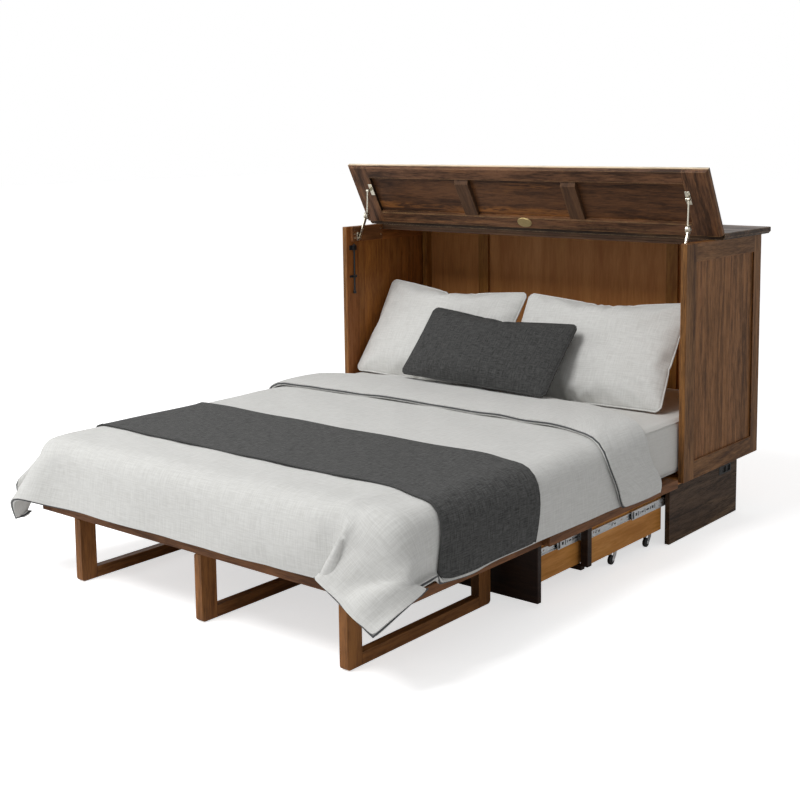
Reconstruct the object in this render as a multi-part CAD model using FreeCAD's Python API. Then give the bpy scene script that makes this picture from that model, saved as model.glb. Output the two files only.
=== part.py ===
"""Queen cabinet bed, opened for sleeping: a low wooden cabinet whose lid lifts on a pair of stays, whose front
panel folds down and unfolds into the platform, and whose base holds a rolling carriage with a storage drawer.

X runs across the bed, Y from the foot to the wall, Z up from the floor, all in millimetres. The pieces are laid
out from the front face of the base (y = 0), and at the end everything moves by ORIGIN_SHIFT along Y, so that the
origin is on the floor under the middle of the opened bed."""
import FreeCAD, Part
import os
from math import atan2, cos, degrees, hypot, pi, radians, sin, sqrt

V = FreeCAD.Vector

# ---------------------------------------------------------------- driving sizes
# Mattress and platform
MATTRESS_WIDTH = 1524.0
MATTRESS_LENGTH = 2032.0
MATTRESS_DEPTH = 194.0
MATTRESS_EDGE_RADIUS = 34.0
MATTRESS_GAP = 4.4            # between the platform boards and the mattress, taken up by the sheet and the hinges
MATTRESS_FOOT_SETBACK = 6.0   # behind the foot rail's front face
MATTRESS_HEAD_ROOM = 23.0     # between the mattress and the back
PANEL_T = 30.0                # thickness of both folding panels
PANEL_UNDERSIDE_Z = 208.0
FRONT_PANEL_LENGTH = 800.0
PANEL_RAIL_W = 70.0           # width of the frame rails round each folding panel
PANEL_BOARD_T = 12.0
PANEL_SIDE_GAP = 3.0          # foot panel to the cabinet's inner faces when it is stowed
SEAM_GAP = 1.0

# Cabinet
SIDE_T = 22.0
MATTRESS_SIDE_ROOM = 6.0      # each side of the mattress, inside the cabinet
SIDE_OUTER_X = MATTRESS_WIDTH / 2 + MATTRESS_SIDE_ROOM + SIDE_T
SIDE_FRONT_Y = 38.0
SIDE_BACK_Y = 630.0
SIDE_BOTTOM_Z = 216.0
SIDE_TOP_Z = 1048.0
FRONT_STILE_W = 75.0
REAR_STILE_W = 60.0
SIDE_TOP_RAIL_W = 66.0
SIDE_BOTTOM_RAIL_W = 66.0
SIDE_PANEL_T = 10.0
SIDE_PANEL_TONGUE = 8.0
BACK_PANEL_Y = 577.0          # inner face of the back
# from the base's front face to the foot rail's front face
PLATFORM_REACH = MATTRESS_FOOT_SETBACK + MATTRESS_LENGTH + MATTRESS_HEAD_ROOM - BACK_PANEL_Y
BACK_PANEL_T = 10.0
BACK_SEAM_INSET = 363.0       # the outer back boards' width, from the sides' outer faces
BACK_SEAM_X = SIDE_OUTER_X - BACK_SEAM_INSET
BACK_BATTEN_W = 50.0
BACK_BATTEN_T = 12.0
CORNER_POST_W = 38.0
CORNER_POST_T = 22.0
WOOD_EDGE = 2.0               # eased edge of the solid wood
BOARD_EDGE = 1.0              # eased edge of the sheet material

# Top and lid
TOP_OVERHANG = 34.0           # past each side
TOP_HALF_WIDTH = SIDE_OUTER_X + TOP_OVERHANG
TOP_T = 25.0
TOP_BACK_Y = 634.0
TOP_MOULD = 9.0               # chamfer under the overhanging edges
HINGE_RAIL_DEPTH = 40.0
HINGE_RAIL_H = 22.0
HINGE_RAIL_STEP = 6.0
LID_REACH = 266.0             # from the hinge line to the free edge
LID_AXIS_Y = 254.0
LID_OPEN_DEG = 62.0
LID_BOARD_T = 10.0
LID_FREE_RAIL_W = 55.0
LID_LOWER_RAIL_W = 48.0
LID_STILE_W = 102.0
LID_BATTEN_W = 64.0
LID_BATTEN_X = 247.0
LID_GAP = 0.6
LID_LEAF_W = 24.0
LID_KNUCKLE_R = 3.5
BADGE_LENGTH = 66.0
BADGE_WIDTH = 42.0
BADGE_T = 3.0

# Lid stays
STAY_X = SIDE_OUTER_X - 48.0
STAY_LID_ALONG = 160.0        # pivot on the lid, measured from the hinge line along the closed lid
STAY_LID_BELOW = 41.0         # and below the lid's top face
STAY_ELBOW = (138.0, 1091.0)  # y and z of the elbow while the lid stands open
STAY_FOOT = (97.0, 1000.0)    # y and z of the pivot on the cabinet
STAY_ELBOW_R = 15.0
STAY_ELBOW_T = 4.5
STAY_ROD_R = 3.0
STAY_PIN_R = 3.0
STAY_PIN_CLEARANCE = 0.05
STAY_LINK_GAP = 0.8
CLEAT_FRONT_Y = 62.0
CLEAT_BACK_Y = 255.0
CLEAT_H = 62.0
CLEAT_SCREW_INSET = 14.0      # screws, from the cleat's ends
CLEAT_SCREW_LOW = 14.0        # lowest front screw above the cleat's lower edge
CLEAT_SCREW_PITCH = 16.0
CLEAT_BACK_SCREW_LOW = 20.0
CLEAT_T = 12.0

# Base
BASE_INSET = 32.0             # base sides behind the cabinet sides
BASE_OUTER_X = SIDE_OUTER_X - BASE_INSET
BASE_DEPTH = 526.0
BASE_BOARD_T = 18.0
BASE_TOP_Z = 226.0
BASE_FRONT_RAIL_H = 18.0
DECK_FRONT_Y = 104.0
DECK_T = 12.0
OUTLET_Y = 425.0
OUTLET_Z = 182.0
OUTLET_LENGTH = 96.0
OUTLET_H = 32.0
OUTLET_DEPTH = 12.0

# Folding panel hinges
HINGE_INSET = 230.0           # outer hinges from the cabinet's sides
HINGE_X = (HINGE_INSET - SIDE_OUTER_X, 0.0, SIDE_OUTER_X - HINGE_INSET)
HINGE_LENGTH = 80.0
HINGE_LEAF_T = 2.0
HINGE_PIN_R = 2.5
HINGE_PIN_CLEARANCE = 0.05
KNUCKLE_R = 5.0
KNUCKLE_GAP = 0.5
FRONT_AXIS_Y = 9.0
FRONT_AXIS_Z = 217.0
SEAM_KNUCKLE_R = 3.5
SEAM_PIN_R = 1.8
SEAM_LEAF_T = 1.5
SEAM_AXIS_RISE = 0.3

# Legs
LEG_T = 30.0
LEG_POST_W = 60.0
LEG_BAR_H = 36.0
LEG_LENGTH = 653.0
LEG_INSET = 196.0             # outer legs from the cabinet's sides
LEG_OUTER_X = SIDE_OUTER_X - LEG_INSET
LEG_CORNER_R = 12.0
LEG_TOP_GAP = 0.5
LEG_PIVOT_INSET = 8.0         # pivot axis from the inboard and the top face of the post
LEG_PIN_R = 4.0
LEG_PIN_CLEARANCE = 0.05
LEG_PIN_REACH = 40.0
LEG_BRACKET_T = 3.0
CROSSRAIL_T = 22.0
CROSSRAIL_END_H = 112.0
CROSSRAIL_ARCH_RISE = 62.0
CROSSRAIL_GAP = 3.2
CATCH_T = 2.4

# Carriage, drawer and their slides
SLIDE_T = 12.7
SLIDE_Z = 153.0
SLIDE_OUTER_H = 36.0
SLIDE_MIDDLE_H = 30.0
SLIDE_INNER_H = 23.0
SLIDE_STEEL = 1.3
CARRIAGE_OUT = 507.0          # travel of the carriage out of the base
CARRIAGE_LENGTH = 500.0
CARRIAGE_FRONT_T = 25.0
CARRIAGE_BOARD_T = 15.0
CARRIAGE_BOTTOM_Z = 52.0
CARRIAGE_TOP_Z = 188.0
CARRIAGE_CLOSED_Y = 3.0
CARRIAGE_FRONT_GAP = 1.5
DRAWER_TO_LEGS = 69.0         # pulled-out drawer and carriage stop this far short of the legs
DRAWER_OUT = PLATFORM_REACH - LEG_LENGTH - CARRIAGE_OUT - DRAWER_TO_LEGS   # travel out of the carriage
DRAWER_FRONT_GAP = 3.6        # drawer front to the carriage's front frame when shut
DRAWER_FRONT_T = 20.0
DRAWER_FRONT_HALF = BASE_OUTER_X - 23.0
DRAWER_FRONT_Z = (12.0, 205.0)
DRAWER_BOX_LENGTH = 405.0
DRAWER_MIDDLE_LENGTH = 440.0
DRAWER_BOTTOM_Z = 55.0
DRAWER_TOP_Z = 186.0
DRAWER_BOTTOM_T = 6.0
DRAWER_BOTTOM_GROOVE = 6.0
DRAWER_BOTTOM_RISE = 8.0

# Casters
WHEEL_R = 16.0
WHEEL_W = 12.0
WHEEL_BORE_R = 3.1
AXLE_R = 3.05
CASTER_TRAIL = 14.0
CASTER_X = BASE_OUTER_X - 55.0
CASTER_Y = (-285.0, -52.0)
CASTER_PLATE = (40.0, 36.0, 2.0)
CASTER_HUB_R = 11.0
CASTER_HUB_H = 5.0
SWIVEL_PIN_R = 3.0
FORK_T = 2.0
FORK_GAP = 0.6
DRAWER_CASTER_X = BASE_OUTER_X - 103.0
DRAWER_CASTER_INSET = 20.4    # from the rear end of the drawer's sides

# Panel latches on the inside of the cabinet's front stiles
LATCH_Y = 76.0
LATCH_ROD_R = 4.0
LATCH_LENGTH = 200.0
LATCH_TOP_Z = 980.0
LATCH_KEEPER_DROP = 20.0      # upper guide's middle below the bolt's top
LATCH_KEEPER_H = 20.0
LATCH_STRAP_RISE = 60.0       # lower guide's middle above the bolt's lower end
LATCH_STRAP_H = 10.0
LATCH_TRAVEL = 20.0
LATCH_STAND = 8.0             # rod axis off the stile
LATCH_PLATE_T = 2.5

# Bedding
DUVET_T = 16.0
DUVET_HEAD_Y = -70.0
DUVET_CUFF_Y = -385.0
DUVET_SHOULDER_R = 46.0
DUVET_CLEARANCE = 3.0
DUVET_HEM_Z = 246.0
DUVET_FOOT_TIP_Y = -1560.0
RUNNER_T = 7.0
RUNNER_FRONT_Y = -1265.0
RUNNER_BACK_Y = -815.0
RUNNER_HEM_Z = 250.0
PILLOW_SPARE = 68.0           # half the cabinet's inside that a pillow leaves free
PILLOW_SIZE = (SIDE_OUTER_X - SIDE_T - PILLOW_SPARE, 430.0, 150.0)
PILLOW_LEAN_DEG = 34.0
PILLOW_FOOT_Y = 72.0
PILLOW_LEFT_GAP = 13.0        # off the cabinet's left side
PILLOW_RIGHT_GAP = 93.0       # off its right side
PILLOW_LEFT_X = PILLOW_LEFT_GAP + SIDE_T - SIDE_OUTER_X + PILLOW_SIZE[0] / 2
PILLOW_RIGHT_X = SIDE_OUTER_X - SIDE_T - PILLOW_RIGHT_GAP - PILLOW_SIZE[0] / 2
LUMBAR_SIZE = (680.0, 315.0, 110.0)
LUMBAR_LEAN_DEG = 42.0
LUMBAR_FOOT_Y = -92.0
LUMBAR_X = -37.0
CUSHION_REST = 6.0            # lower seam above what the pillow or cushion stands on

# ---------------------------------------------------------------- places worked out from the sizes
SIDE_INNER_X = SIDE_OUTER_X - SIDE_T
PANEL_TOP_Z = PANEL_UNDERSIDE_Z + PANEL_T
FRONT_PANEL_Y1 = -SEAM_GAP
FRONT_PANEL_Y0 = FRONT_PANEL_Y1 - FRONT_PANEL_LENGTH
SEAM_Y = FRONT_PANEL_Y0 - SEAM_GAP / 2
FOOT_PANEL_Y1 = FRONT_PANEL_Y0 - SEAM_GAP
FOOT_PANEL_Y0 = -PLATFORM_REACH
FOOT_PANEL_HALF = SIDE_INNER_X - PANEL_SIDE_GAP
SEAM_AXIS_Z = PANEL_TOP_Z + SEAM_AXIS_RISE
MATTRESS_Z0 = PANEL_TOP_Z + MATTRESS_GAP
MATTRESS_Z1 = MATTRESS_Z0 + MATTRESS_DEPTH
MATTRESS_Y0 = -PLATFORM_REACH + MATTRESS_FOOT_SETBACK
MATTRESS_Y1 = MATTRESS_Y0 + MATTRESS_LENGTH
TOP_Z = SIDE_TOP_Z + TOP_T
LID_AXIS_Z = TOP_Z
ORIGIN_SHIFT = -(DUVET_FOOT_TIP_Y + TOP_BACK_Y) / 2


# ---------------------------------------------------------------- small helpers
def box(x0, x1, y0, y1, z0, z1):
    """A block between two corners."""
    return Part.makeBox(x1 - x0, y1 - y0, z1 - z0, V(x0, y0, z0))


def eased(shape, radius):
    """The same block with all its edges rounded."""
    return shape.makeFillet(radius, shape.Edges)


def board(x0, x1, y0, y1, z0, z1, ease=BOARD_EDGE):
    """A board with eased edges."""
    return eased(box(x0, x1, y0, y1, z0, z1), ease)


def rod(start, end, radius):
    """A round bar between two points."""
    way = end - start
    return Part.makeCylinder(radius, way.Length, start, way)


def rod_x(x0, x1, y, z, radius):
    return rod(V(x0, y, z), V(x1, y, z), radius)


def mirrored(shape):
    """The same shape on the other side of the bed."""
    return shape.mirror(V(0, 0, 0), V(1, 0, 0))


def both_sides(shape):
    return [shape, mirrored(shape)]


def polygon_prism(points, way):
    """A closed outline of points pushed along a vector."""
    wire = Part.makePolygon([V(*p) for p in points] + [V(*points[0])])
    return Part.Face(wire).extrude(way)


def turned(shape, point, axis, angle):
    """A copy of the shape turned about a line."""
    copy = shape.copy()
    copy.rotate(point, axis, angle)
    return copy


def lid_open(shape):
    """A lid piece, drawn closed, turned to where it stands open."""
    return turned(shape, V(0, LID_AXIS_Y, LID_AXIS_Z), V(1, 0, 0), -LID_OPEN_DEG)


NODES = {}


def node(name, *solids):
    """Keeps the solids of one named piece, or of a group of like pieces."""
    found = []
    for solid in solids:
        found.extend(solid if isinstance(solid, list) else [solid])
    NODES[name] = found


# ---------------------------------------------------------------- cabinet sides and back
def frame_ring(outer, opening, groove):
    """A frame and panel: the ring with its edges eased and a groove that takes the panel's tongue."""
    ring = eased(outer, WOOD_EDGE).cut(opening)
    return ring.cut(groove)


def cabinet_sides():
    """Each side is a frame of stiles and rails round a recessed panel held in a groove."""
    y0 = SIDE_FRONT_Y + FRONT_STILE_W
    y1 = SIDE_BACK_Y - REAR_STILE_W
    z0 = SIDE_BOTTOM_Z + SIDE_BOTTOM_RAIL_W
    z1 = SIDE_TOP_Z - SIDE_TOP_RAIL_W
    panel_x0 = SIDE_INNER_X + (SIDE_T - SIDE_PANEL_T) / 2
    panel = box(panel_x0, panel_x0 + SIDE_PANEL_T, y0 - SIDE_PANEL_TONGUE, y1 + SIDE_PANEL_TONGUE,
                z0 - SIDE_PANEL_TONGUE, z1 + SIDE_PANEL_TONGUE)
    outer = box(SIDE_INNER_X, SIDE_OUTER_X, SIDE_FRONT_Y, SIDE_BACK_Y, SIDE_BOTTOM_Z, SIDE_TOP_Z)
    opening = box(SIDE_INNER_X - 1, SIDE_OUTER_X + 1, y0, y1, z0, z1)
    frame = frame_ring(outer, opening, panel)
    node("side_frame_right", frame)
    node("side_frame_left", mirrored(frame))
    node("side_panels", both_sides(panel))


def cabinet_back():
    """Three back boards, the battens over their seams and the two rear corner posts."""
    z0 = BASE_TOP_Z + DECK_T
    y1 = BACK_PANEL_Y + BACK_PANEL_T
    spans = ((-SIDE_INNER_X, -BACK_SEAM_X), (-BACK_SEAM_X, BACK_SEAM_X), (BACK_SEAM_X, SIDE_INNER_X))
    boards = [box(a + SEAM_GAP / 2, b - SEAM_GAP / 2, BACK_PANEL_Y, y1, z0, SIDE_TOP_Z) for a, b in spans]
    node("back_panels", boards)
    batten_x0 = BACK_SEAM_X + SEAM_GAP
    batten = board(batten_x0, batten_x0 + BACK_BATTEN_W, BACK_PANEL_Y - BACK_BATTEN_T, BACK_PANEL_Y,
                   z0, SIDE_TOP_Z - HINGE_RAIL_H)
    post = board(SIDE_INNER_X - CORNER_POST_T, SIDE_INNER_X, BACK_PANEL_Y - CORNER_POST_W, BACK_PANEL_Y,
                 z0, SIDE_TOP_Z, WOOD_EDGE)
    node("back_battens_and_posts", both_sides(batten), both_sides(post))


# ---------------------------------------------------------------- fixed top
def hinge_recess(x, y_side, leaf_w):
    """The shallow seat for one lid hinge leaf in a top face."""
    y0, y1 = sorted((LID_AXIS_Y, LID_AXIS_Y + y_side * leaf_w))
    return box(x - HINGE_LENGTH / 2, x + HINGE_LENGTH / 2, y0 - 1, y1, TOP_Z - SEAM_LEAF_T, TOP_Z + 1)




def knuckle_relief(x, y, z, radius):
    """Room for a hinge barrel in the edges beside it."""
    return rod_x(x - HINGE_LENGTH / 2 - 1, x + HINGE_LENGTH / 2 + 1, y, z, radius + 0.6)


def moulded(shape, edges, size):
    """A board whose lower edges are chamfered like a moulding."""
    return shape.makeChamfer(size, edges)


def fixed_top():
    """The rear half of the top, which stays on the cabinet, with the stepped rail under its front edge."""
    y0 = LID_AXIS_Y + LID_GAP / 2
    slab = box(-TOP_HALF_WIDTH, TOP_HALF_WIDTH, y0, TOP_BACK_Y, SIDE_TOP_Z, TOP_Z)
    low = [e for e in slab.Edges if e.BoundBox.ZMax < SIDE_TOP_Z + 0.1 and abs(e.BoundBox.XMin) > TOP_HALF_WIDTH - 0.1
           and e.BoundBox.YLength > 1]
    slab = moulded(slab, low, TOP_MOULD)
    high = [e for e in slab.Edges if e.BoundBox.ZMin > TOP_Z - 0.1 and e.BoundBox.YLength > 1]
    slab = slab.makeFillet(3.0, high)
    for x in HINGE_X:
        slab = slab.cut(hinge_recess(x, 1, LID_LEAF_W)).cut(knuckle_relief(x, LID_AXIS_Y, LID_AXIS_Z, LID_KNUCKLE_R))
    node("fixed_top", slab)
    rail = board(-SIDE_INNER_X, SIDE_INNER_X, LID_AXIS_Y + HINGE_RAIL_STEP, LID_AXIS_Y + HINGE_RAIL_DEPTH,
                 SIDE_TOP_Z - HINGE_RAIL_H, SIDE_TOP_Z)
    lip = board(-SIDE_INNER_X, SIDE_INNER_X, LID_AXIS_Y + 1, LID_AXIS_Y + HINGE_RAIL_DEPTH / 2,
                SIDE_TOP_Z - HINGE_RAIL_H / 2, SIDE_TOP_Z)
    node("hinge_rail", rail.fuse(lip).removeSplitter())


# ---------------------------------------------------------------- lid
def lid():
    """The front half of the top: a thin board on a frame of rails and stiles, with two battens across it."""
    y1 = LID_AXIS_Y - LID_GAP / 2
    y0 = LID_AXIS_Y - LID_REACH
    frame_z1 = TOP_Z - LID_BOARD_T
    top = box(-TOP_HALF_WIDTH, TOP_HALF_WIDTH, y0, y1, frame_z1, TOP_Z)
    high = [e for e in top.Edges if e.BoundBox.ZMin > TOP_Z - 0.1 and e.BoundBox.YMax < y1 - 0.1
            or e.BoundBox.ZMin > TOP_Z - 0.1 and e.BoundBox.YLength > 1]
    top = top.makeFillet(3.0, high)
    frame = box(-TOP_HALF_WIDTH, TOP_HALF_WIDTH, y0, y1, SIDE_TOP_Z + LID_GAP, frame_z1)
    low = [e for e in frame.Edges if e.BoundBox.ZMax < SIDE_TOP_Z + LID_GAP + 0.1
           and (e.BoundBox.YLength > 1 or e.BoundBox.YMax < y0 + 0.1)]
    frame = moulded(frame, low, TOP_MOULD)
    opening = box(-TOP_HALF_WIDTH + LID_STILE_W, TOP_HALF_WIDTH - LID_STILE_W, y0 + LID_FREE_RAIL_W,
                  y1 - LID_LOWER_RAIL_W, SIDE_TOP_Z - 1, frame_z1 + 1)
    frame = frame.cut(opening)
    for x in HINGE_X:
        top = top.cut(hinge_recess(x, -1, LID_LEAF_W)).cut(knuckle_relief(x, LID_AXIS_Y, LID_AXIS_Z, LID_KNUCKLE_R))
    node("lid_board", lid_open(top))
    node("lid_frame", lid_open(frame))
    wedge = 6.0
    battens = []
    for side in (-1, 1):
        x0 = side * LID_BATTEN_X - LID_BATTEN_W / 2
        low_z, high_z = SIDE_TOP_Z + LID_GAP - wedge, frame_z1
        outline = [(x0, y0 + LID_FREE_RAIL_W, high_z), (x0, y0 + LID_FREE_RAIL_W, low_z + 2 * wedge),
                   (x0, y0 + LID_FREE_RAIL_W + 3 * wedge, low_z), (x0, y1 - LID_LOWER_RAIL_W, low_z + wedge),
                   (x0, y1 - LID_LOWER_RAIL_W, high_z)]
        battens.append(lid_open(eased(polygon_prism(outline, V(LID_BATTEN_W, 0, 0)), BOARD_EDGE)))
    node("lid_battens", battens)
    badge_y = y1 - LID_LOWER_RAIL_W / 2 - 2
    badge = Part.Face(Part.Wire(Part.Ellipse(V(0, badge_y, SIDE_TOP_Z + LID_GAP), BADGE_LENGTH / 2,
                                             BADGE_WIDTH / 2).toShape())).extrude(V(0, 0, -BADGE_T))
    rim = [e for e in badge.Edges if e.BoundBox.ZMax < SIDE_TOP_Z + LID_GAP - BADGE_T + 0.1]
    node("lid_badge", lid_open(badge.makeChamfer(1.2, rim)))


def barrel(x0, x1, y, z, radius, bore):
    """One hinge knuckle, with a bore for the pin if it turns on it."""
    tube = rod_x(x0, x1, y, z, radius)
    return tube.cut(rod_x(x0 - 1, x1 + 1, y, z, bore)) if bore else tube


def knuckle_spans(x):
    """Outer knuckles on the fixed leaf and the middle one on the moving leaf."""
    third = HINGE_LENGTH / 3
    start = x - HINGE_LENGTH / 2
    return ((start, start + third), (start + 2 * third, start + HINGE_LENGTH)), (start + third, start + 2 * third)


def lid_hinge_pair(x):
    """Both halves of one lid hinge, drawn with the lid closed: the fixed half carries the pin."""
    outer_spans, (m0, m1) = knuckle_spans(x)
    y, z, r = LID_AXIS_Y, LID_AXIS_Z, LID_KNUCKLE_R
    fixed = box(x - HINGE_LENGTH / 2, x + HINGE_LENGTH / 2, y, y + LID_LEAF_W, z - SEAM_LEAF_T, z)
    moving = box(x - HINGE_LENGTH / 2, x + HINGE_LENGTH / 2, y - LID_LEAF_W, y, z - SEAM_LEAF_T, z)
    fixed = fixed.cut(rod_x(x - HINGE_LENGTH, x + HINGE_LENGTH, y, z, r + KNUCKLE_GAP))
    moving = moving.cut(rod_x(x - HINGE_LENGTH, x + HINGE_LENGTH, y, z, r + KNUCKLE_GAP))
    for a, b in outer_spans:
        fixed = fixed.fuse(barrel(a, b, y, z, r, 0)).fuse(box(a, b, y, y + r + 2, z - SEAM_LEAF_T, z))
    fixed = fixed.fuse(rod_x(x - HINGE_LENGTH / 2, x + HINGE_LENGTH / 2, y, z, SEAM_PIN_R))
    middle = barrel(m0 + KNUCKLE_GAP, m1 - KNUCKLE_GAP, y, z, r, 0)
    middle = middle.fuse(box(m0 + KNUCKLE_GAP, m1 - KNUCKLE_GAP, y - r - 2, y, z - SEAM_LEAF_T, z))
    middle = middle.cut(rod_x(m0, m1, y, z, SEAM_PIN_R + HINGE_PIN_CLEARANCE))
    return fixed.removeSplitter(), moving.fuse(middle).removeSplitter()


# ---------------------------------------------------------------- lid stays
def stay_points():
    """The lid pivot of the stay while the lid stands open."""
    closed = V(0, LID_AXIS_Y - STAY_LID_ALONG, LID_AXIS_Z - STAY_LID_BELOW)
    a = radians(-LID_OPEN_DEG)
    dy, dz = closed.y - LID_AXIS_Y, closed.z - LID_AXIS_Z
    return closed, V(0, LID_AXIS_Y + dy * cos(a) - dz * sin(a), LID_AXIS_Z + dy * sin(a) + dz * cos(a))


def stay_fold_angles():
    """How far each link turns about +X while the lid closes, found from the closed triangle of the links."""
    closed_pin, open_pin = stay_points()
    foot, elbow = V(0, *STAY_FOOT), V(0, *STAY_ELBOW)
    upper, lower = (open_pin - elbow).Length, (elbow - foot).Length
    span = closed_pin - foot
    along = (lower ** 2 - upper ** 2 + span.Length ** 2) / (2 * span.Length)
    off = sqrt(lower ** 2 - along ** 2)
    unit = span * (1 / span.Length)
    elbow_closed = foot + unit * along + V(0, unit.z, -unit.y) * off
    lower_turn = degrees(atan2(elbow_closed.z - foot.z, elbow_closed.y - foot.y) - atan2(elbow.z - foot.z, elbow.y - foot.y))
    start = degrees(atan2(elbow.z - open_pin.z, elbow.y - open_pin.y))
    end = degrees(atan2(elbow_closed.z - closed_pin.z, elbow_closed.y - closed_pin.y))
    return lower_turn, (end - start) % 360.0 - LID_OPEN_DEG


LID_BRACKETS = []


def stays():
    """A folding stay each side: a rod from the lid to a round elbow, a flat arm from the elbow to the cabinet."""
    closed_pin, open_pin = stay_points()
    foot, elbow = V(0, *STAY_FOOT), V(0, *STAY_ELBOW)
    x_upper, x_lower = STAY_X - STAY_ELBOW_T - STAY_LINK_GAP / 2, STAY_X + STAY_LINK_GAP / 2
    mid_upper = x_upper + STAY_ELBOW_T / 2
    bore = STAY_PIN_R + STAY_PIN_CLEARANCE

    disc = rod_x(x_upper, x_upper + STAY_ELBOW_T, elbow.y, elbow.z, STAY_ELBOW_R)
    cap = rod_x(x_upper - 2, x_upper, elbow.y, elbow.z, STAY_ELBOW_R * 0.6)
    eye = rod_x(mid_upper - 4, mid_upper + 4, open_pin.y, open_pin.z, STAY_PIN_R + 3)
    upper = disc.fuse(cap).fuse(rod(V(mid_upper, elbow.y, elbow.z), V(mid_upper, open_pin.y, open_pin.z), STAY_ROD_R))
    upper = upper.fuse(eye).cut(rod_x(mid_upper - 5, mid_upper + 5, open_pin.y, open_pin.z, bore))
    node("stay_upper_links", both_sides(upper.removeSplitter()))

    disc = rod_x(x_lower, x_lower + STAY_ELBOW_T, elbow.y, elbow.z, STAY_ELBOW_R)
    way = elbow - foot
    across = V(0, way.z, -way.y) * (1 / way.Length)
    outline = [foot + across * 5, elbow + across * 7, elbow - across * 7, foot - across * 5]
    arm = polygon_prism([(x_lower, p.y, p.z) for p in outline], V(STAY_ELBOW_T, 0, 0))
    eye = rod_x(x_lower, x_lower + STAY_ELBOW_T, foot.y, foot.z, STAY_PIN_R + 4)
    lower = disc.fuse(arm).fuse(eye).cut(rod_x(x_lower - 1, x_lower + 9, foot.y, foot.z, bore))
    node("stay_lower_links", both_sides(lower.removeSplitter()))

    # bracket on the lid: a plate screwed to the end stile and a lug that holds the pin
    below = SIDE_TOP_Z + LID_GAP
    plate = board(STAY_X - 22, STAY_X - 2, closed_pin.y - 22, closed_pin.y + 30, below - 3, below, BOARD_EDGE)
    lug_x0 = mid_upper - 9
    lug = box(lug_x0, lug_x0 + 3.5, closed_pin.y - 7, closed_pin.y + 7, closed_pin.z, below - 1)
    lug = lug.fuse(rod_x(lug_x0, lug_x0 + 3.5, closed_pin.y, closed_pin.z, 7))
    pin = rod_x(lug_x0, mid_upper + 5, closed_pin.y, closed_pin.z, STAY_PIN_R)
    head = rod_x(mid_upper + 4.4, mid_upper + 5.4, closed_pin.y, closed_pin.z, STAY_PIN_R + 1.2)
    LID_BRACKETS.extend(both_sides(lid_open(plate.fuse(lug).fuse(pin).fuse(head).removeSplitter())))

    # bracket on the cleat: a plate with a pin that the lower link turns on
    cleat_x = SIDE_INNER_X - CLEAT_T
    base = board(cleat_x - 3, cleat_x, foot.y - 9, foot.y + 9, foot.z - 12, foot.z + 24, BOARD_EDGE)
    pin = rod_x(x_lower - 1.6, cleat_x - 2, foot.y, foot.z, STAY_PIN_R)
    washer = rod_x(x_lower - 1.6, x_lower - 0.4, foot.y, foot.z, STAY_PIN_R + 1.6)
    anchor = base.fuse(pin).fuse(washer).removeSplitter()
    screws = []
    front_y, back_y = CLEAT_FRONT_Y + CLEAT_SCREW_INSET, CLEAT_BACK_Y - CLEAT_SCREW_INSET
    front = [(front_y, CLEAT_SCREW_LOW + number * CLEAT_SCREW_PITCH) for number in (2, 1, 0)]
    back = [(back_y, CLEAT_SCREW_LOW + 2 * CLEAT_SCREW_PITCH), (back_y, CLEAT_BACK_SCREW_LOW)]
    for y, z in front + back:
        screws.append(rod_x(cleat_x - 1.5, cleat_x, y, SIDE_TOP_Z - CLEAT_H + z, 3.6))
    node("stay_anchors_and_screws", both_sides(anchor), [s for screw in screws for s in both_sides(screw)])
    node("stay_cleats", both_sides(board(cleat_x, SIDE_INNER_X, CLEAT_FRONT_Y, CLEAT_BACK_Y,
                                         SIDE_TOP_Z - CLEAT_H, SIDE_TOP_Z)))


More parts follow.
